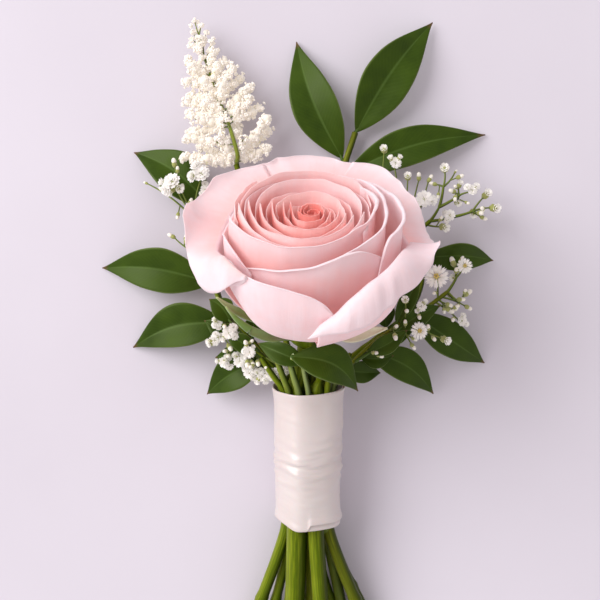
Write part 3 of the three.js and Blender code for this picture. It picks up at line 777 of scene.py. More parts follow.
# Each stem: its place in the handle, its radius there and at its end, its foot, and its way from the handle.
STEMS = {
    "rose": Stem(
        (-2.7, 2.4), 2.5, 2.4, (-1.8, -93, 8.2), (0.5, -17.5, 18.8), (1.6, -13.6, 19.4),
        ROSE_SEAT - 7.5 * ROSE_AXIS, ROSE_SEAT - 4 * ROSE_AXIS, slim=False,
    ),
    "ruscus_top": Stem(
        (0.9, -0.6), 1.8, 0.8, (3.6, -92, 5.6), (3.2, -12, 13), (4, 2, 9), (6.5, 18, 5.2), (10.2, 30, 3.8),
        (11.8, 35.7, 3.6), (14.2, 43, 3.8), age=0.35,
    ),
    "ruscus_left": Stem(
        (-3.7, -4.15), 1.25, 0.8, (-9.6, -91.5, 1.3), (-6, -17, 10.4), (-13, -9.5, 9), (-19, -3, 7.6),
        (-21.6, 4, 6.8), (-22.4, 12, 6), (-22.4, 23.5, 5.2),
    ),
    "ruscus_right": Stem(
        (4, -3.2), 1.4, 0.8, (19, -85, 1.4), (11, -16, 11.6), (19, -10, 10.6), (27, -3.5, 9.6), (30.6, 4, 9),
        (30.6, 10.8, 8.4),
    ),
    "ruscus_front": Stem(
        (2.1, 3.6), 2, 0.9, (6.2, -90, 9.6), (4.8, -18.6, 21.4), (2.4, -15.6, 24.2), (-1.8, -13.6, 26.6),
    ),
    "astilbe": Stem(
        (-2.3, -2.1), 1.25, 0.7, (-4.6, -90, 4.6), (-3, -12, 10.5), (-9, 5, 7), (-13.8, 22, 8.2),
        (-16, 34, 9.6), (-19, 44, 9),
    ),
    "gypsophila_left": Stem(
        (-5.3, -1.1), 1.5, 0.55, (-14.8, -90, 1.6), (-5.2, -18.4, 16), (-9, -14, 17), (-13.4, -10.6, 16.4),
        (-19.5, -1, 14), (-24.6, 13, 11), (-26.5, 23, 10),
    ),
    "gypsophila_top_right": Stem(
        (0.4, -4.6), 1.35, 0.55, (11.6, -91, 1.4), (5, -14, 8.6), (12, 0, 7.2), (22, 10.5, 7.4), (29, 16.6, 8),
        (33, 20, 8.4),
    ),
    "gypsophila_right": Stem(
        (5.2, 0.5), 1.55, 0.55, (18.8, -88, 4.8), (12, -16.5, 17), (19, -10, 16.6), (26, -5.4, 16),
        (32, -1.6, 14), (37, 2, 12), age=0.3,
    ),
}
ROSE_HIP = [(-7.5, 2.4), (-6.6, 2.8), (-5, 4.5), (-3.4, 5.5), (-1.8, 6), (0, 6.1)]

rose_stem = Shape()
STEMS["rose"].add_to(rose_stem, [0.1, 0.62], 2, hip=ROSE_HIP)
make_piece("rose_stem", rose_stem, STEM_GREEN, "stem", "rose_stem_and_hip")

# ---- Sepals ----

# Each sepal: its half width, its middle line as [azimuth, radius, height], how far it is turned face up, and
# how dry it is.
SEPALS = [
    (1.05, [(-38, 7.2, -0.9), (-41, 13.2, 3), (-46, 19.1, 8), (-50, 22, 12), (-53, 24, 15.8)], 0.9, 0.0),
    (2.1, [(40, 6.9, -0.9), (40, 7.1, -3), (40, 7.2, -5), (40, 7, -7.2)], 0.0, 0.0),
    (1.9, [(58, 6.9, -0.9), (62, 11.4, 0.2), (66, 16, 2), (69, 19.8, 3.4)], 0.9, 1.0),
    (2.1, [(158, 6.9, -0.9), (158, 7.1, -3), (158, 7.2, -5), (158, 7, -7.2)], 0.0, 0.0),
    (1.15, [(-84, 7, -0.9), (-78, 12.8, 3), (-72, 18, 7.5), (-69, 21, 11), (-67, 23.2, 14)], 0.8, 0.3),
]


def add_sepal(shape, seed, half, line, face_up, age):
    s = np.linspace(-1, 1, 11)[None, :, None]
    t = np.linspace(0, 1, 34)[:, None, None]
    azimuth, radius, height = spline(line, 33).T
    middle = in_rose(azimuth, radius, height)
    along = unit(np.gradient(middle, axis=0))
    hugging = unit(in_rose(azimuth + 1, radius, height) - middle)
    level = unit(np.cross(along, UP))
    level = level * np.sign(np.sum(level * hugging, axis=1, keepdims=True))
    across = unit(mix(hugging, level, face_up * smooth(t[:, 0], 0.1, 0.4)))
    out = unit(np.cross(across, along))
    wide = half * mix(1.0, 0.08, t**2.4) * (0.9 + 0.3 * np.sin(math.pi * t))
    wide = wide + 0.1 * ripple(t * 9, s * 0.4, seed)
    bulge = 0.3 * (1 - s**2) + 0.15 * ripple(t * 4, s, seed + 1)
    points = middle[:, None] + across[:, None] * wide * s + out[:, None] * bulge
    add_sheet(shape, points, 0.35, up=mix(0.7 * t, 1.0, age)[..., 0], across=s[..., 0])


sepals = Shape()
for i, sepal in enumerate(SEPALS):
    add_sepal(sepals, i, *sepal)
make_piece("rose_sepals", sepals, SEPAL_GREEN, "sepal", *numbered("sepal", 5))

# ---- Ruscus leaves ----

# Each leaf: the share of the way up its stem where it grows, its tip, its half width, its roll in degrees, how
# far it arches up and sways sideways, and for the one that starts above its stem's end, how far above.
LEAVES = {
    "ruscus_top": {
        "top_left": (0.936, (-0.9, 66.9, 0.8), 5.9, -8, 3.2, -1.3),
        "top": (1, (34.3, 71.8, 1.4), 6.3, 10, 3, -1.8),
        "top_right": (0.92, (48, 42.8, 0.8), 4.9, -4, 3.4, -1.7),
    },
    "ruscus_left": {
        "upper_left": (1, (-43, 38.2, 0.8), 5.6, 6, 2.4, 1.8),
        "left": (0.845, (-51.2, 8.3, 0.7), 5.6, -6, 3, 1.9),
        "lower_left": (0.755, (-43.2, -12.3, 0.7), 5.6, 8, 2.6, 2.2),
        "bottom_left": (0.655, (-23.9, -24.2, 3.2), 4.4, 6, 1.6, 1),
    },
    "ruscus_front": {
        "bottom_front": (1, (14, -22, 24.5), 4.7, -16, 3.2, -2.2, 2),
        "bottom_inner": (0.93, (-10.4, -10.6, 20), 2.7, 0, 1.2, 0),
    },
    "ruscus_right": {
        "bottom_back": (0.655, (20.5, -18.6, 6.4), 2.8, 0, 0.8, 0),
        "bottom_right": (0.735, (34.3, -24.1, 3.4), 4.2, -6, 2, -2),
        "right": (0.87, (47.8, -16.3, 0.7), 4.5, -6, 2.4, 0.4),
        "upper_right": (1, (49.8, 10.2, 2.4), 3.8, 24, 2, -1.8),
    },
}
SMALL_LEAVES = [
    ("gypsophila_left", 0.655, (-22.4, 0.2, 17.6), 2.9, 0, 0.5, 0.9),
    ("gypsophila_left", 0.64, (-18.6, -8.6, 17.2), 2.3, 0, 0.8, 0.6),
    ("gypsophila_right", 0.79, (34.8, -1.4, 16), 2.6, 0, 0.6, -0.5),
    ("gypsophila_right", 0.72, (26.4, -7.4, 18.6), 2.4, 0, 0.6, 0.4),
    ("gypsophila_right", 0.84, (29.8, 6.4, 17), 2.1, 0, 0.6, 0),
    ("ruscus_right", 0.7, (23.6, -14, 10), 2.5, 0, 0.8, 0.6),
    ("ruscus_right", 0.76, (28.4, -7.6, 13), 2.7, 8, 0.8, -0.6),
    ("ruscus_right", 0.83, (32.4, -1.2, 12.6), 2.4, 0, 0.8, 0.5),
    ("ruscus_right", 0.8, (20.4, 2.6, 13), 2.6, 0, 0.6, 0),
    ("ruscus_left", 0.67, (-21.4, -14.6, 9), 2.5, 0, 0.8, 0.6),
    ("ruscus_left", 0.72, (-24.2, -5.2, 9), 2.5, 0, 0.8, -0.6),
    ("ruscus_left", 0.7, (-11.4, -3.4, 10.6), 2.5, 0, 0.6, 0),
    ("ruscus_left", 0.66, (-13.2, -18.4, 9.6), 2.1, 0, 0.8, 0),
]
LEAF_BASE_HALF = 0.5


def turn_about(vector, axis, degrees):
    turn = math.radians(degrees)
    turned = vector * math.cos(turn) + np.cross(axis, vector) * math.sin(turn)
    return turned + axis * np.dot(axis, vector) * (1 - math.cos(turn))


def add_leaf(shape, stem, seed, at, tip, half, roll, arch, sway, rise=0.0):
    """A blade that starts clear of its stem, with the short stalk that it grows on."""
    root, radius = stem.at(at), stem.radius(at)
    toward = unit(np.array(tip, float) - root)
    angle = math.acos(np.clip(np.dot(toward, stem.heading(at)), -1, 1))
    beside = (radius + 0.2 + LEAF_BASE_HALF * abs(math.cos(angle))) / max(math.sin(angle), 0.1)
    base = root + (UP * rise if rise else toward * (0.35 + radius * math.sin(angle) if at == 1 else beside))
    blade = np.array(tip, float) - base
    ahead = unit(blade)
    right = turn_about(unit(np.cross(ahead, UP)), ahead, roll)
    over = np.cross(right, ahead)
    s = np.linspace(-1, 1, 19)[None, :, None]
    t = np.linspace(0, 1, 56)[:, None, None]
    belly = np.abs(np.sin(math.pi * np.clip(t, 0, 0.9999) ** 0.8)) ** 1.15
    width = mix(mix(LEAF_BASE_HALF, 0.1, smooth(t, 0.5, 1)), half, belly)
    width = width * (1 + 0.03 * ripple(t * 5, np.sign(s), seed))
    bend = np.sin(math.pi * t)
    crease = np.sqrt(s**2 + 0.006) - 0.077
    waves = 0.03 * half * ripple(t * 4.2, s * 0.9, seed + 1) * np.abs(s)
    points = base + blade * t + right * (width * s + sway * bend)
    points = points + over * (arch * bend + 0.29 * width * crease + waves)
    thin = mix(0.42, 0.22, smooth(np.abs(s), 0.6, 1)) * mix(1, 0.7, smooth(t, 0.8, 1))
    add_sheet(shape, points, thin[..., 0], across=s[..., 0], up=t[..., 0])
    path = [root + (base - root) * 0.15, mix(root, base, 0.7) + over * 0.1, base + blade * 0.04 + over * 0.15]
    add_tube(shape, spline(path, 8), np.linspace(0.55, 0.3, 9), sides=8)


for stem_name, leaves in LEAVES.items():
    stem, branch = STEMS[stem_name], Shape()
    stem.add_to(branch, [leaf[0] for leaf in leaves.values() if leaf[0] < 1] + [0.12], len(stem_name))
    make_piece(f"{stem_name}_branch", branch, STEM_GREEN, "stem", f"{stem_name}_stem")
    for i, (name, leaf) in enumerate(leaves.items()):
        blade = Shape()
        add_leaf(blade, stem, 7 * len(stem_name) + i, *leaf)
        make_piece(f"ruscus_leaf_{name}_blade", blade, LEAF_GREEN, "ruscus_leaf", f"ruscus_leaf_{name}")

small_leaves = Shape()
for i, (stem_name, *leaf) in enumerate(SMALL_LEAVES):
    add_leaf(small_leaves, STEMS[stem_name], 70 + i, *leaf)
make_piece("ruscus_small_leaves", small_leaves, LEAF_GREEN, "ruscus_leaf")

# ---- Loose stalks in the mouth of the ribbon ----

# Each stalk: its place in the handle, its radius, its upper end, its age and its paleness.
LOOSE_STALKS = [
    ((-5.9, 2.6), 0.95, (-9.6, -14.4, 17.4), 0.0, 0.0), ((-4.6, 4.9), 1.0, (-6, -13.6, 20.8), 0.1, 0.1),
    ((-2.2, 6.1), 1.0, (-3, -13.4, 22.4), 0.0, 0.3), ((0.2, 5.9), 0.8, (0.2, -13.4, 22.4), 0.15, 0.5),
    ((4.9, 4.1), 1.05, (7.4, -14.2, 19.8), 0.0, 0.0), ((6.2, 2.4), 0.8, (10, -14.4, 17), 0.0, 0.3),
    ((6.6, -0.6), 0.7, (12.6, -13.4, 13), 0.0, 0.0), ((-6.7, -0.4), 0.7, (-10.6, -13.6, 13), 0.0, 0.1),
]
stalks = Shape()
for place, radius, end, age, pale in LOOSE_STALKS:
    bound = [in_handle(*place, along) for along in (11, 14.5, 17.5)]
    path = spline([*bound, mix(bound[-1], np.array(end), 0.5) + 0.4 * UP, end], 24)
    add_tube(stalks, path, np.linspace(radius, 0.7 * radius, 25), sides=14, age=age, pale=pale)
# One more stalk is cut below the ribbon and ends inside it.
bound = [in_handle(4.6, 1.4, along) for along in (-17, -12, 0, 10.5)]
path = spline([(12.4, -88, 2.2), (10.4, -77, 3.4), (7.4, -63, 6.2), *bound], 80)
add_tube(stalks, path, np.linspace(1.5, 0.9, 81), sides=18, pale=0.12)
make_piece("loose_stalks", stalks, STEM_GREEN, "stem")

# ---- Blossoms ----


class Pattern(Shape):
    """The shape of one blossom, of about unit radius, open towards +Z. Its unit is a millimetre."""

    def __init__(self, *parts, rounded=False):
        super().__init__()
        self.rounded = rounded
        for add, *numbers in parts:
            add(self, *numbers)

    def mesh(self, name):
        mesh = super().mesh(name)
        mesh.vertices.foreach_set("co", (np.vstack(self.points) * MM).astype(np.float32).ravel())
        mesh.polygons.foreach_set("use_smooth", [self.rounded] * len(mesh.polygons))
        return mesh


def petal_ring(pattern, count, inner, outer, rise, lift, width, turn=0.0, notch=0.12):
    """Small petals round a blossom, as thin wedges, from feet at the height rise to tips at lift."""
    for i in range(count):
        angle = TAU * (i + turn) / count
        ahead = np.array([math.cos(angle), math.sin(angle), 0])
        side = np.array([-math.sin(angle), math.cos(angle), 0]) * width
        halfway = ahead * mix(inner, outer, 0.65) + UP * mix(rise, lift, 0.75)
        shoulder = ahead * outer * (1 - notch * 0.3) + UP * lift
        foot = ahead * inner + UP * rise
        tip = ahead * outer * (1 - notch) + UP * (lift - 0.02)
        under = ahead * mix(inner, outer, 0.6) + UP * (mix(rise, lift, 0.6) - 0.16)
        faces = [(0, 1, 2, 3), (0, 3, 4, 5)] + [((i + 1) % 6, i, 6) for i in range(6)]
        outline = [foot, halfway - side, shoulder - side * 0.5, tip, shoulder + side * 0.5, halfway + side]
        pattern.add(outline + [under], faces, tone=0.0)


def knob(pattern, radius, low, high, tone, sides=6, middle=(0.0, 0.0)):
    """A rounded knob from the height low to high."""
    points = []
    for share, level, turn in ((0.62, 0.12, 0), (1.0, 0.45, 0.5), (0.72, 0.85, 0)):
        for i in range(sides):
            angle = TAU * (i + turn) / sides
            wide = radius * share
            points.append([wide * math.cos(angle), wide * math.sin(angle), mix(low, high, level)])
    points = np.array(points + [[0, 0, low], [0, 0, high]]) + [*middle, 0]
    faces = grid_faces(3, sides, closed=True)
    for i in range(sides):
        j = (i + 1) % sides
        faces += [(j, i, 3 * sides), (2 * sides + i, 2 * sides + j, 3 * sides + 1)]
    pattern.add(points, faces, tone=tone)


def around(count, step, radius):
    return [(radius * math.cos(step * i), radius * math.sin(step * i)) for i in range(count)]


def blossom_tree():
    """Sets one of a collection's patterns on each point, by the point's own kind, size and turn."""
    group = bpy.data.node_groups.new("blossoms on stalks", "GeometryNodeTree")
    kinds = {
        "Points": "Geometry", "Patterns": "Collection", "Blossom size": "Float", "Size variation": "Float",
        "Seed": "Int", "Finish": "Material",
    }
    for name, kind in kinds.items():
        group.interface.new_socket(name, in_out="INPUT", socket_type=f"NodeSocket{kind}")
    group.interface.new_socket("Blossoms", in_out="OUTPUT", socket_type="NodeSocketGeometry")
    tree = Nodes(group)
    given = tree.node("NodeGroupInput").outputs

    def named(attribute, kind):
        node = tree.node("GeometryNodeInputNamedAttribute", attribute, settings={"data_type": kind})
        return next(socket for socket in node.outputs if socket.enabled)

    patterns = tree.node("GeometryNodeCollectionInfo", given["Patterns"], True)
    spread = tree.node("FunctionNodeRandomValue", settings={"data_type": "FLOAT"}, Seed=given["Seed"])
    for socket, operation in ((2, "SUBTRACT"), (3, "ADD")):
        tree.feed(spread.inputs[socket], tree.math(operation, 1.0, given["Size variation"]))
    size = tree.times(tree.times(named("size", "FLOAT"), given["Blossom size"]), spread.outputs[1])
    turn = tree.node("FunctionNodeEulerToRotation", named("turn", "FLOAT_VECTOR")).outputs[0]
    placed = tree.node(
        "GeometryNodeInstanceOnPoints", Points=given["Points"], Instance=patterns.outputs[0],
        Pick_Instance=True, Instance_Index=named("kind", "INT"), Rotation=turn, Scale=size,
    )
    real = tree.node("GeometryNodeRealizeInstances", placed.outputs[0])
    finished = tree.node("GeometryNodeSetMaterial", real.outputs[0], Material=given["Finish"])
    tree.node("NodeGroupOutput", finished.outputs[0])
    return group


BLOSSOM_TREE = blossom_tree()


def pattern_collection(name, *patterns):
    collection = bpy.data.collections.new(name)
    for i, pattern in enumerate(patterns):
        shape = f"{i}_{name}"
        collection.objects.link(bpy.data.objects.new(shape, pattern.mesh(shape)))
    return collection


def facing_turn(direction, spin):
    """Euler angles that turn +Z to a direction, spun about it."""
    turn = Vector(direction).to_track_quat("Z", "Y").to_matrix().to_4x4() @ Matrix.Rotation(spin, 4, "Z")
    return list(turn.to_euler())


def blossom_mesh(name, spots, patterns, finish, variation, seed):
    """spots are (point, facing, radius, kind)."""
    chance = random.Random(seed)
    points, facings, sizes, kinds = zip(*spots)
    mesh = bpy.data.meshes.new(name + "_spots")
    mesh.from_pydata(to_frame(points).tolist(), [], [])
    turns = [facing_turn(facing, chance.uniform(0, 6.28)) for facing in facings]
    for key, kind, field, data in (
        ("size", "FLOAT", "value", sizes),
        ("kind", "INT", "value", kinds),
        ("turn", "FLOAT_VECTOR", "vector", np.ravel(turns)),
    ):
        mesh.attributes.new(key, kind, "POINT").data.foreach_set(field, data)
    holder = bpy.data.objects.new(name + "_spots", mesh)
    bpy.context.scene.collection.objects.link(holder)
    modifier = holder.modifiers.new("blossoms", "NODES")
    modifier.node_group = BLOSSOM_TREE
    given = {
        "Patterns": patterns, "Blossom size": 1.0, "Size variation": variation, "Seed": seed, "Finish": finish,
    }
    for socket in BLOSSOM_TREE.interface.items_tree:
        if socket.name in given:
            modifier[socket.identifier] = given[socket.name]
    graph = bpy.context.evaluated_depsgraph_get()
    made = bpy.data.meshes.new_from_object(holder.evaluated_get(graph), depsgraph=graph)
    made.name = name
    bpy.data.objects.remove(holder)
    return made


# ---- Baby's breath ----

# Each twig: the share of the way up its stem where it leaves, its end, and its blossom's radius.
SPRIGS = {
    "gypsophila_left": [
        (0.66, (-3.9, -17, 18), 1.2), (0.66, (-6.4, -18, 17), 1.6), (0.68, (-9.4, -19, 16), 1.6),
        (0.7, (-12.6, -18.2, 15), 1.6), (0.7, (-15, -15.2, 15.4), 1.7), (0.72, (-18.9, -15.6, 14), 1.7),
        (0.73, (-21.2, -10, 15), 1.6), (0.74, (-17.6, -8.2, 18), 1.9), (0.75, (-20.3, -5.6, 17), 1.3),
        (0.72, (-12.4, -12.9, 19), 1.5), (0.9, (-32.5, 16.2, 9), 0.8), (1, (-23.6, 27.6, 13.6), 1.5),
        (1, (-24.6, 31.4, 16), 2.4), (0.98, (-32, 29.6, 14), 2.6), (0.98, (-31.6, 34.4, 12), 0.9),
        (0.97, (-39.4, 29.9, 6), 0.5),
    ],
    "gypsophila_top_right": [
        (0.9, (21.2, 38.1, 10), 1.1), (0.9, (24, 34.4, 12), 1.7), (0.93, (27, 31, 12.6), 1.2),
        (0.94, (30.1, 31.2, 9), 0.9), (0.95, (33, 30.8, 8), 0.9), (0.93, (31, 25.2, 14), 2.4),
        (1, (36.4, 33.2, 11), 1.3), (1, (40.5, 29.4, 9), 1), (1, (43.2, 27.6, 12), 1.6),
        (1, (47.2, 26.8, 10), 1.3), (1, (49.3, 23.2, 10), 1.4), (1, (40, 24.6, 9), 1.1),
        (1, (39.4, 32.5, 9), 0.5), (1, (38.4, 27.4, 11), 0.9), (1, (46.4, 20.8, 9), 0.8),
        (1, (33.8, 29.4, 9), 0.8), (1, (44, 22, 8), 1.2), (0.99, (36.6, 18.4, 9), 1.4),
        (1, (37.9, 21.4, 9.5), 1.6),
    ],
    "gypsophila_right": [
        (0.97, (33.8, 5.7, 17), 3.5), (1, (41.2, 8.5, 13), 2.4), (1, (38.6, 9.6, 10), 1),
        (1, (42.3, 1.7, 9.6), 1), (1, (38.8, 5.6, 10), 1.2), (0.98, (42.6, -1.9, 8.6), 0.9),
        (0.97, (37.4, -2.4, 11.6), 1.1), (0.96, (41, -5.3, 9.4), 1.5), (0.9, (30, -1.6, 17.4), 1.4),
        (0.87, (25.8, 0, 20), 1.1), (0.86, (29.2, -7.6, 19), 2.7), (0.88, (36.4, -10, 14), 1.2),
        (0.86, (28.1, -11.5, 14.6), 0.8), (0.83, (23.6, -6.6, 18.6), 0.8), (0.76, (18.4, -13, 18), 0.7),
    ],
}
# Where the sprigs' upper twigs fork, each with the fork that it grows from (0 is the end of the stem).
FORKS = {
    "gypsophila_left": [],
    "gypsophila_top_right": [
        (0, (35.2, 23.5, 9.5)), (1, (36.2, 28.6, 10)), (0, (38.5, 21, 9)), (3, (43.6, 22.4, 9.5)),
        (1, (40.2, 26.4, 10)),
    ],
    "gypsophila_right": [(0, (39.4, 5.8, 11.4)), (0, (40, -0.6, 10.6))],
}
# A full blossom with its petals crowded into a tuft, an open one with a yellow-green middle, a half-open one
# and a bud.
GYPSOPHILA_PATTERNS = pattern_collection(
    "gypsophila",
    Pattern(
        (knob, 0.42, -0.85, -0.1, 1.8),
        (petal_ring, 8, 0.18, 1.0, -0.1, 0.12, 0.3),
        (petal_ring, 7, 0.12, 0.78, 0.0, 0.42, 0.26, 0.4),
        (petal_ring, 5, 0.08, 0.5, 0.1, 0.66, 0.2, 0.2),
        (petal_ring, 3, 0.02, 0.24, 0.2, 0.76, 0.14, 0.7),
    ),
    Pattern(
        (knob, 0.24, -0.5, 0.05, 1.8),
        (petal_ring, 13, 0.2, 1.0, 0.0, 0.1, 0.15, 0.0, 0.22),
        (petal_ring, 11, 0.16, 0.84, 0.06, 0.32, 0.14, 0.5, 0.2),
        (petal_ring, 8, 0.16, 0.56, 0.1, 0.5, 0.12, 0.2, 0.2),
        *((knob, 0.1, 0.05, 0.42, 1.0, 5, middle) for middle in around(5, 1.26, 0.13)),
    ),
    Pattern(
        (knob, 0.6, -1.2, 0.25, 1.75),
        (petal_ring, 6, 0.2, 0.72, -0.1, 0.6, 0.3),
        (petal_ring, 5, 0.1, 0.45, 0.0, 0.8, 0.24, 0.5),
    ),
    Pattern((knob, 0.74, -1.4, 0.6, 1.75, 7), (knob, 0.68, -0.5, 1.45, 0.2, 8), rounded=True),
)
DOUBLE, DAISY, HALF_OPEN, BUD = range(4)


def blossom_kind(sprig, radius, chance):
    if sprig == "gypsophila_right" and radius > 2:
        return DAISY
    if sprig == "gypsophila_top_right" and 1 <= radius < 1.55:
        return HALF_OPEN
    if radius < 1.05:
        return BUD
    if sprig != "gypsophila_left" and radius < 1.35:
        return chance.choice([HALF_OPEN, BUD])
    return DOUBLE


def scatter(chance, low=-1, high=1):
    return np.array([chance.uniform(-1, 1), chance.uniform(-1, 1), chance.uniform(low, high)])


def add_sprig(name, twigs):
    chance = random.Random(name)
    stem = STEMS[name]
    green, spots = Shape(), []
    stem.add_to(green, [0.12, 0.7], len(name))
    forks = [stem.at(1)]
    for parent, fork in FORKS[name]:
        path = arch_between(forks[parent], fork, 0.06, sideways=0.05)
        add_tube(green, path, np.linspace(0.42, 0.3, 9), sides=8, pale=0.15)
        forks.append(np.array(fork))
    for at, end, radius in twigs:
        end = np.array(end, float)
        root = min(forks, key=lambda point: np.linalg.norm(point - end)) if at == 1 else stem.at(at)
        kind = blossom_kind(name, radius, chance)
        straight = 1.4 if kind == BUD else 0.5
        aside = np.array([chance.uniform(-0.3, 0.3) for _ in range(3)])
        facing = unit(unit(end - root) * straight + UP * (1.6 - straight) + aside)
        foot = end - facing * radius * 0.8
        path = arch_between(root, foot, 0.1, sideways=chance.uniform(-0.14, 0.14))
        add_tube(green, path, np.linspace(0.3, 0.17, len(path)), sides=7, pale=0.25)
        spots.append((end, facing, radius * (1.3 if kind == HALF_OPEN else 1), kind))
        for _ in range((5 if name == "gypsophila_left" else 2) if kind == DOUBLE else 0):
            way = unit(scatter(chance, -0.3, 0.3))
            tuft = end + way * radius * 0.95
            add_tube(green, arch_between(foot, tuft - facing * 0.6, 0.1, steps=4), 0.18, sides=6, pale=0.3)
            size = radius * chance.uniform(0.55, 0.75)
            spots.append((tuft, unit(facing + way), size, chance.choice([DOUBLE, HALF_OPEN])))
        for _ in range(1 if name == "gypsophila_top_right" else 2):
            start = path[int(chance.uniform(0.45, 0.85) * (len(path) - 1))]
            way = unit(facing + 1.3 * scatter(chance, -0.2, 0.5))
            tip = start + way * chance.uniform(1.6, 3.2)
            if np.linalg.norm(tip - end) < radius + 0.7:
                continue
            size = chance.uniform(0.6, 1.0)
            twig = arch_between(start, tip - way * 0.4 * size, 0.08, steps=4)
            add_tube(green, twig, 0.17, sides=6, pale=0.35)
            spots.append((tip, way, size, BUD))
    blossoms = blossom_mesh(f"{name}_blossoms", spots, GYPSOPHILA_PATTERNS, WHITE_BLOSSOM, 0.08, len(name))
    make_piece(f"{name}_blossoms", blossoms, WHITE_BLOSSOM, "gypsophila", f"{name}_sprig")
    make_piece(f"{name}_twigs", green, STEM_GREEN, "stem")


for sprig_name, twigs in SPRIGS.items():
    add_sprig(sprig_name, twigs)

# ---- Astilbe ----

PLUME_BASE, PLUME_TIP = np.array([-15.8, 33.4, 9.8]), np.array([-27, 71.4, 6])
PLUME_WIDTH, PLUME_DEPTH = 25, 11.6
BRANCHES = 54
GOLDEN_ANGLE = 2.399963
# The florets leave this stretch of the stem bare, as seen from above, where they lie above this height.
BARE_FROM, BARE_TO, BARE_ABOVE = np.array([-15.2, 34.0]), np.array([-17.5, 43.4]), 11
# The floret's lobes: how high each rises, and where it stands.
FLORET_LOBES = list(zip([0.5, 0.62, 0.5, 0.62], around(4, 1.57, 0.48)))
# A floret of plump lobes, a bud, a dot of green, and the crowded middle of a tuft.
ASTILBE_PATTERNS = pattern_collection(
    "astilbe",
    Pattern(*((knob, 0.52, -0.35, top, 0.0, 5, middle) for top, middle in FLORET_LOBES), rounded=True),
    Pattern((knob, 0.6, -0.6, 0.6, 0.15, 5)),
    Pattern((knob, 0.42, -0.45, 0.45, 1.2, 5)),
    Pattern((knob, 0.62, -0.6, 0.6, 0.12, 6), rounded=True),
)
FLORET, FLORET_BUD, DOT, CORE = range(4)


def over_bare_stem(spot):
    bare = BARE_TO - BARE_FROM
    near = np.clip(np.dot(spot[:2] - BARE_FROM, bare) / np.dot(bare, bare), 0, 1)
    return spot[2] > BARE_ABOVE and np.linalg.norm(spot[:2] - mix(BARE_FROM, BARE_TO, near)) < 1.0


def add_astilbe():
    chance = random.Random(11)
    green, spots = Shape(), []
    stem = STEMS["astilbe"]
    stem.add_to(green, [0.12], 8, upto=0.94)
    along = PLUME_TIP - PLUME_BASE
    axis = unit(along)
    flat = unit(np.cross(axis, UP))
    over = np.cross(flat, axis)
    bends = [(-15.6, 36, 12.6), (-16.9, 41, 13.4), (-18.6, 46, 10.4), PLUME_BASE + along * 0.6 - over * 1.4]
    rachis = spline([stem.at(0.93), *bends, PLUME_TIP], 40)
    add_tube(green, rachis, np.linspace(0.6, 0.12, len(rachis)), sides=8, pale=0.15)
    for i in range(BRANCHES):
        t = 0.01 + 0.97 * (i / (BRANCHES - 1)) ** 0.92
        turn = i * GOLDEN_ANGLE + chance.uniform(-0.3, 0.3)
        envelope = float(smooth(t, -0.18, 0.14)) * (1 - t) ** 0.9 + 0.03
        reach = envelope * PLUME_WIDTH / 2 * chance.uniform(0.85, 1.12)
        root = PLUME_BASE + along * max(t - 0.05, 0)
        root = rachis[np.argmin(np.linalg.norm(rachis - root, axis=1))]
        side = flat * math.cos(turn) + over * math.sin(turn) * PLUME_DEPTH / PLUME_WIDTH * 1.1
        end = PLUME_BASE + along * min(t + 0.02 + 0.05 * envelope, 1.0) + side * reach
        if t < 0.93:
            branch = arch_between(root, end, -0.05, steps=7)
            add_tube(green, branch, np.linspace(0.24, 0.12, 8), sides=6, pale=0.6)
        tufts = max(1, round(np.linalg.norm(end - root) / 2.2))
        upper, outer = smooth(t, 0.5, 1), smooth(t, 0.6, 1)
        plump = mix(1.75, 0.5, upper)
        for k in range(tufts):
            middle = mix(root, end, 1 - 0.95 * k / tufts)
            if middle[2] < 12.5:
                spots.append((middle, UP, 1.1 * plump, CORE))
            for _ in range(round(mix(18, 8, upper))):
                offset = unit([chance.gauss(0, 1) for _ in range(3)])
                offset = offset * plump * chance.uniform(0.45, 1.0) * chance.uniform(0.8, 1.1)
                if over_bare_stem(middle + offset):
                    continue
                kind = chance.choices([FLORET, FLORET_BUD, DOT], [0.7, 0.27, 0.03])[0]
                size = chance.uniform(0.5, 0.78) * (1 if kind == FLORET else 0.8) * mix(1, 0.75, outer)
                spots.append((middle + offset, unit(offset + 0.3 * UP), size, kind))
    florets = blossom_mesh("astilbe_florets", spots, ASTILBE_PATTERNS, CREAM_FLORET, 0.12, 5)
    make_piece("astilbe_florets", florets, CREAM_FLORET, "astilbe", "astilbe_plume")
    make_piece("astilbe_branches", green, STEM_GREEN, "stem")


add_astilbe()
for collection in (GYPSOPHILA_PATTERNS, ASTILBE_PATTERNS):
    for pattern in list(collection.objects):
        bpy.data.objects.remove(pattern)
    bpy.data.collections.remove(collection)

# ---- Ribbon and stem tape ----

RIBBON_WIDTH, RIBBON_TURNS = 33.0, 2.15
RIBBON_RADIUS, RIBBON_STEP, RIBBON_THICKNESS = 8.0, 0.21, 0.14
# The ribbon's outer end lies at the front, left of the middle.
RIBBON_END = math.radians(205)
# Folds drawn tight across the ribbon's front: height up its width, slope, width, rise, middle and reach.
RIBBON_FOLDS = [
    (0.56, 0.03, 0.011, 0.3, 0.05, 0.5), (0.515, -0.02, 0.012, 0.34, -0.25, 0.4),
    (0.5, 0.05, 0.009, 0.26, 0.3, 0.35), (0.455, -0.03, 0.012, 0.24, 0.1, 0.6),
    (0.62, 0.06, 0.018, 0.2, 0.45, 0.5), (0.7, 0.1, 0.03, 0.22, 0.7, 0.4),
    (0.4, 0.04, 0.014, 0.16, 0.3, 0.6), (0.33, -0.03, 0.02, 0.12, 0.2, 0.7),
    (0.22, 0.05, 0.03, 0.1, 0.4, 0.6), (0.8, -0.04, 0.03, 0.1, 0.1, 0.8),
]
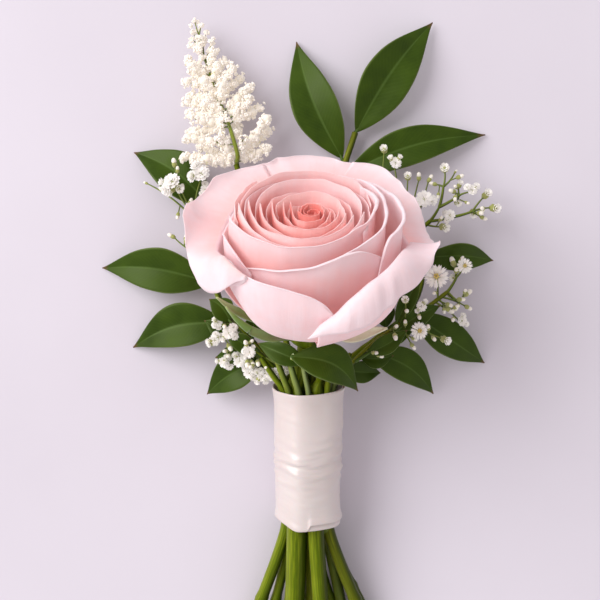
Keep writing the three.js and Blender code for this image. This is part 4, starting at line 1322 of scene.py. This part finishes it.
# How far the ribbon's right side stands out, at these heights up its width.
SIDE_HEIGHTS = [0, 0.08, 0.3, 0.42, 0.5, 0.6, 0.68, 0.74, 1]
SIDE_RISES = [0, 0, -0.05, 0.12, 0, 0.16, 0.12, 0.42, 0.3]


def add_ribbon(shape):
    """The ribbon's spiral: u runs along its length from the tape outwards, and v across it, from the side of
    the cut stems to the side of the flowers."""
    u = np.linspace(0, 1, 330)[None]
    v = np.linspace(0, 1, 96)[:, None]
    turn = RIBBON_END - TAU * RIBBON_TURNS * (1 - u)
    side, front = np.sin(turn), np.cos(turn)
    outer_turn = smooth(RIBBON_TURNS * u - (RIBBON_TURNS - 1), 0.0, 0.12)
    flare = 0.55 * smooth(v, 0.86, 1) ** 2 + 0.25 * smooth(1 - v, 0.92, 1)
    band = bell(v, 0.47, 0.13)
    slant = v * 33 + 0.9 * np.sin(turn + 0.6) + 0.5 * ripple(front * 1.2, side * 1.2, 3)
    creases = 1.2 - 2.6 * np.abs(ripple(slant * 0.36, front * 1.1, 4))
    fine = ripple(slant * 0.95, side * 1.6, 5)
    broad = ripple(v * 2.2, front, 6)
    radius = RIBBON_RADIUS + RIBBON_STEP * RIBBON_TURNS * u
    radius = radius + flare + band * (0.45 * creases + 0.2 * fine) + 0.13 * broad + 0.07 * fine
    radius = radius - 0.12 * band - 0.3 * smooth(v, 0.75, 0.2)
    radius = radius + np.clip(side, 0, 1) ** 2 * outer_turn * np.interp(v, SIDE_HEIGHTS, SIDE_RISES)
    lifted = outer_turn * smooth(side, -0.02, 0.1) * smooth(front, -0.4, 0)
    radius = radius + 0.3 * lifted * smooth(v, 0.2, 0)
    for height, slope, width, rise, middle, reach in RIBBON_FOLDS:
        facing = bell(side, middle, reach) * smooth(front, -0.1, 0.3)
        radius = radius + rise * facing * bell(v, height + slope * (side - middle), width)
    radius = radius + (0.3 * bell(side, -0.3, 0.26) - 0.5 * bell(side, 0.45, 0.42)) * smooth(front, 0, 0.4)
    drift = 2.0 * smooth(v, 0.3, 0) * smooth(-side, 0.25, 1) * smooth(front, -0.5, 0)
    drift = drift + 1.5 * smooth(v, 0.14, 0) * lifted + 1.3 * smooth(v, 0.5, 1)
    drift = drift + 0.5 * (1 - front) * smooth(v, 0.7, 1)
    waves = 0.18 * ripple(front * 2, side * 2, 9) * (2 * np.abs(v - 0.5))
    spiral = in_handle(radius * side, radius * front, (v - 0.5) * RIBBON_WIDTH + drift + waves)
    add_sheet(shape, spiral, RIBBON_THICKNESS, up=v, across=u * RIBBON_TURNS)


def add_tape(shape):
    """Crepe tape wound round the stems as one closed sleeve, with a ridge where each turn laps the last."""
    rows, columns = 90, 72
    along = np.linspace(-14.5, 14.5, rows)[:, None]
    turn = np.linspace(0, TAU, columns, endpoint=False)[None]
    side, front = np.sin(turn), np.cos(turn)
    lap = ((along / 7.0 - turn / TAU) % 1.0) * 0.12
    outer = 7.3 + lap + 0.02 * ripple(along * 0.9, front * 3, 5)
    walls = [in_handle(radius * side, radius * front, along) for radius in (outer, 7.18)]
    low, high = rows * columns, (rows - 1) * columns
    faces = grid_faces(rows, columns, closed=True)
    faces += grid_faces(rows, columns, closed=True, flip=True, start=low)
    for i in range(columns):
        j = (i + 1) % columns
        faces += [(j, i, low + i, low + j), (high + i, high + j, low + high + j, low + high + i)]
    along, side = np.broadcast_arrays(along, side)
    shape.add(walls, faces, along=np.tile(along.ravel(), 2), upright=np.tile(side.ravel(), 2))


ribbon, tape = Shape(), Shape()
add_ribbon(ribbon)
ribbon_piece = make_piece("satin_ribbon_wrap", ribbon, SATIN, "ribbon", "satin_ribbon")
add_tape(tape)
tape_piece = make_piece("stem_tape_wrap", tape, CREPE, "stem_tape", "stem_tape")

# ---- Floor, light and camera ----

FLOOR_HALF = 1.5
CAMERA_HEIGHT = 0.35


def add_floor():
    finish = Finish("pale table", Roughness=0.9)
    cloud = finish.speckle(finish.place(), 9.0, 4.0)
    grain = finish.speckle(finish.place(), 700.0, 2.0)
    pale = finish.ramp(cloud, (0.3, (0.61, 0.57, 0.635)), (0.7, (0.66, 0.62, 0.69)))
    mesh = bpy.data.meshes.new("table_top")
    signs = [(-1, -1), (1, -1), (1, 1), (-1, 1)]
    corners = [(x * FLOOR_HALF, y * FLOOR_HALF, cad_bounds[0].z) for x, y in signs]
    mesh.from_pydata(corners, [], [(0, 1, 2, 3)])
    mesh.materials.append(finish.done(finish.blend(finish.times(grain, 0.05), pale, (0.7, 0.67, 0.74))))
    floor = bpy.data.objects.new("table_top", mesh)
    bpy.context.scene.collection.objects.link(floor)


def add_light(name, place, size, power, color):
    light = bpy.data.lights.new(name, "AREA")
    light.shape, light.size, light.energy, light.color = "DISK", size, power, color
    lamp = bpy.data.objects.new(name, light)
    lamp.location = place
    lamp.rotation_euler = (Vector((0, 0, 0.02)) - Vector(place)).to_track_quat("-Z", "Y").to_euler()
    bpy.context.scene.collection.objects.link(lamp)


def add_world(color, strength):
    world = bpy.data.worlds.new("studio")
    world.use_nodes = True
    background = world.node_tree.nodes["Background"].inputs
    background["Color"].default_value = (*color, 1)
    background["Strength"].default_value = strength
    bpy.context.scene.world = world
    bpy.context.scene.view_settings.view_transform = "Standard"


def add_camera():
    camera = bpy.data.cameras.new("overhead")
    camera.lens, camera.sensor_width = 80.8, 36
    camera.clip_start, camera.clip_end = 0.01, 10
    eye = bpy.data.objects.new("overhead", camera)
    eye.location = (BENCH_TO_FRAME[0] * MM, BENCH_TO_FRAME[1] * MM, CAMERA_HEIGHT)
    bpy.context.scene.collection.objects.link(eye)
    bpy.context.scene.camera = eye


add_floor()
add_light("window", (-0.87, 0.42, 0.85), 1.1, 15.7, (1.0, 0.985, 0.98))
add_light("reflector", (-0.3, -1.1, 0.4), 0.9, 1.6, (1.0, 0.95, 0.96))
add_world((1.0, 0.955, 0.96), 0.7)
add_camera()
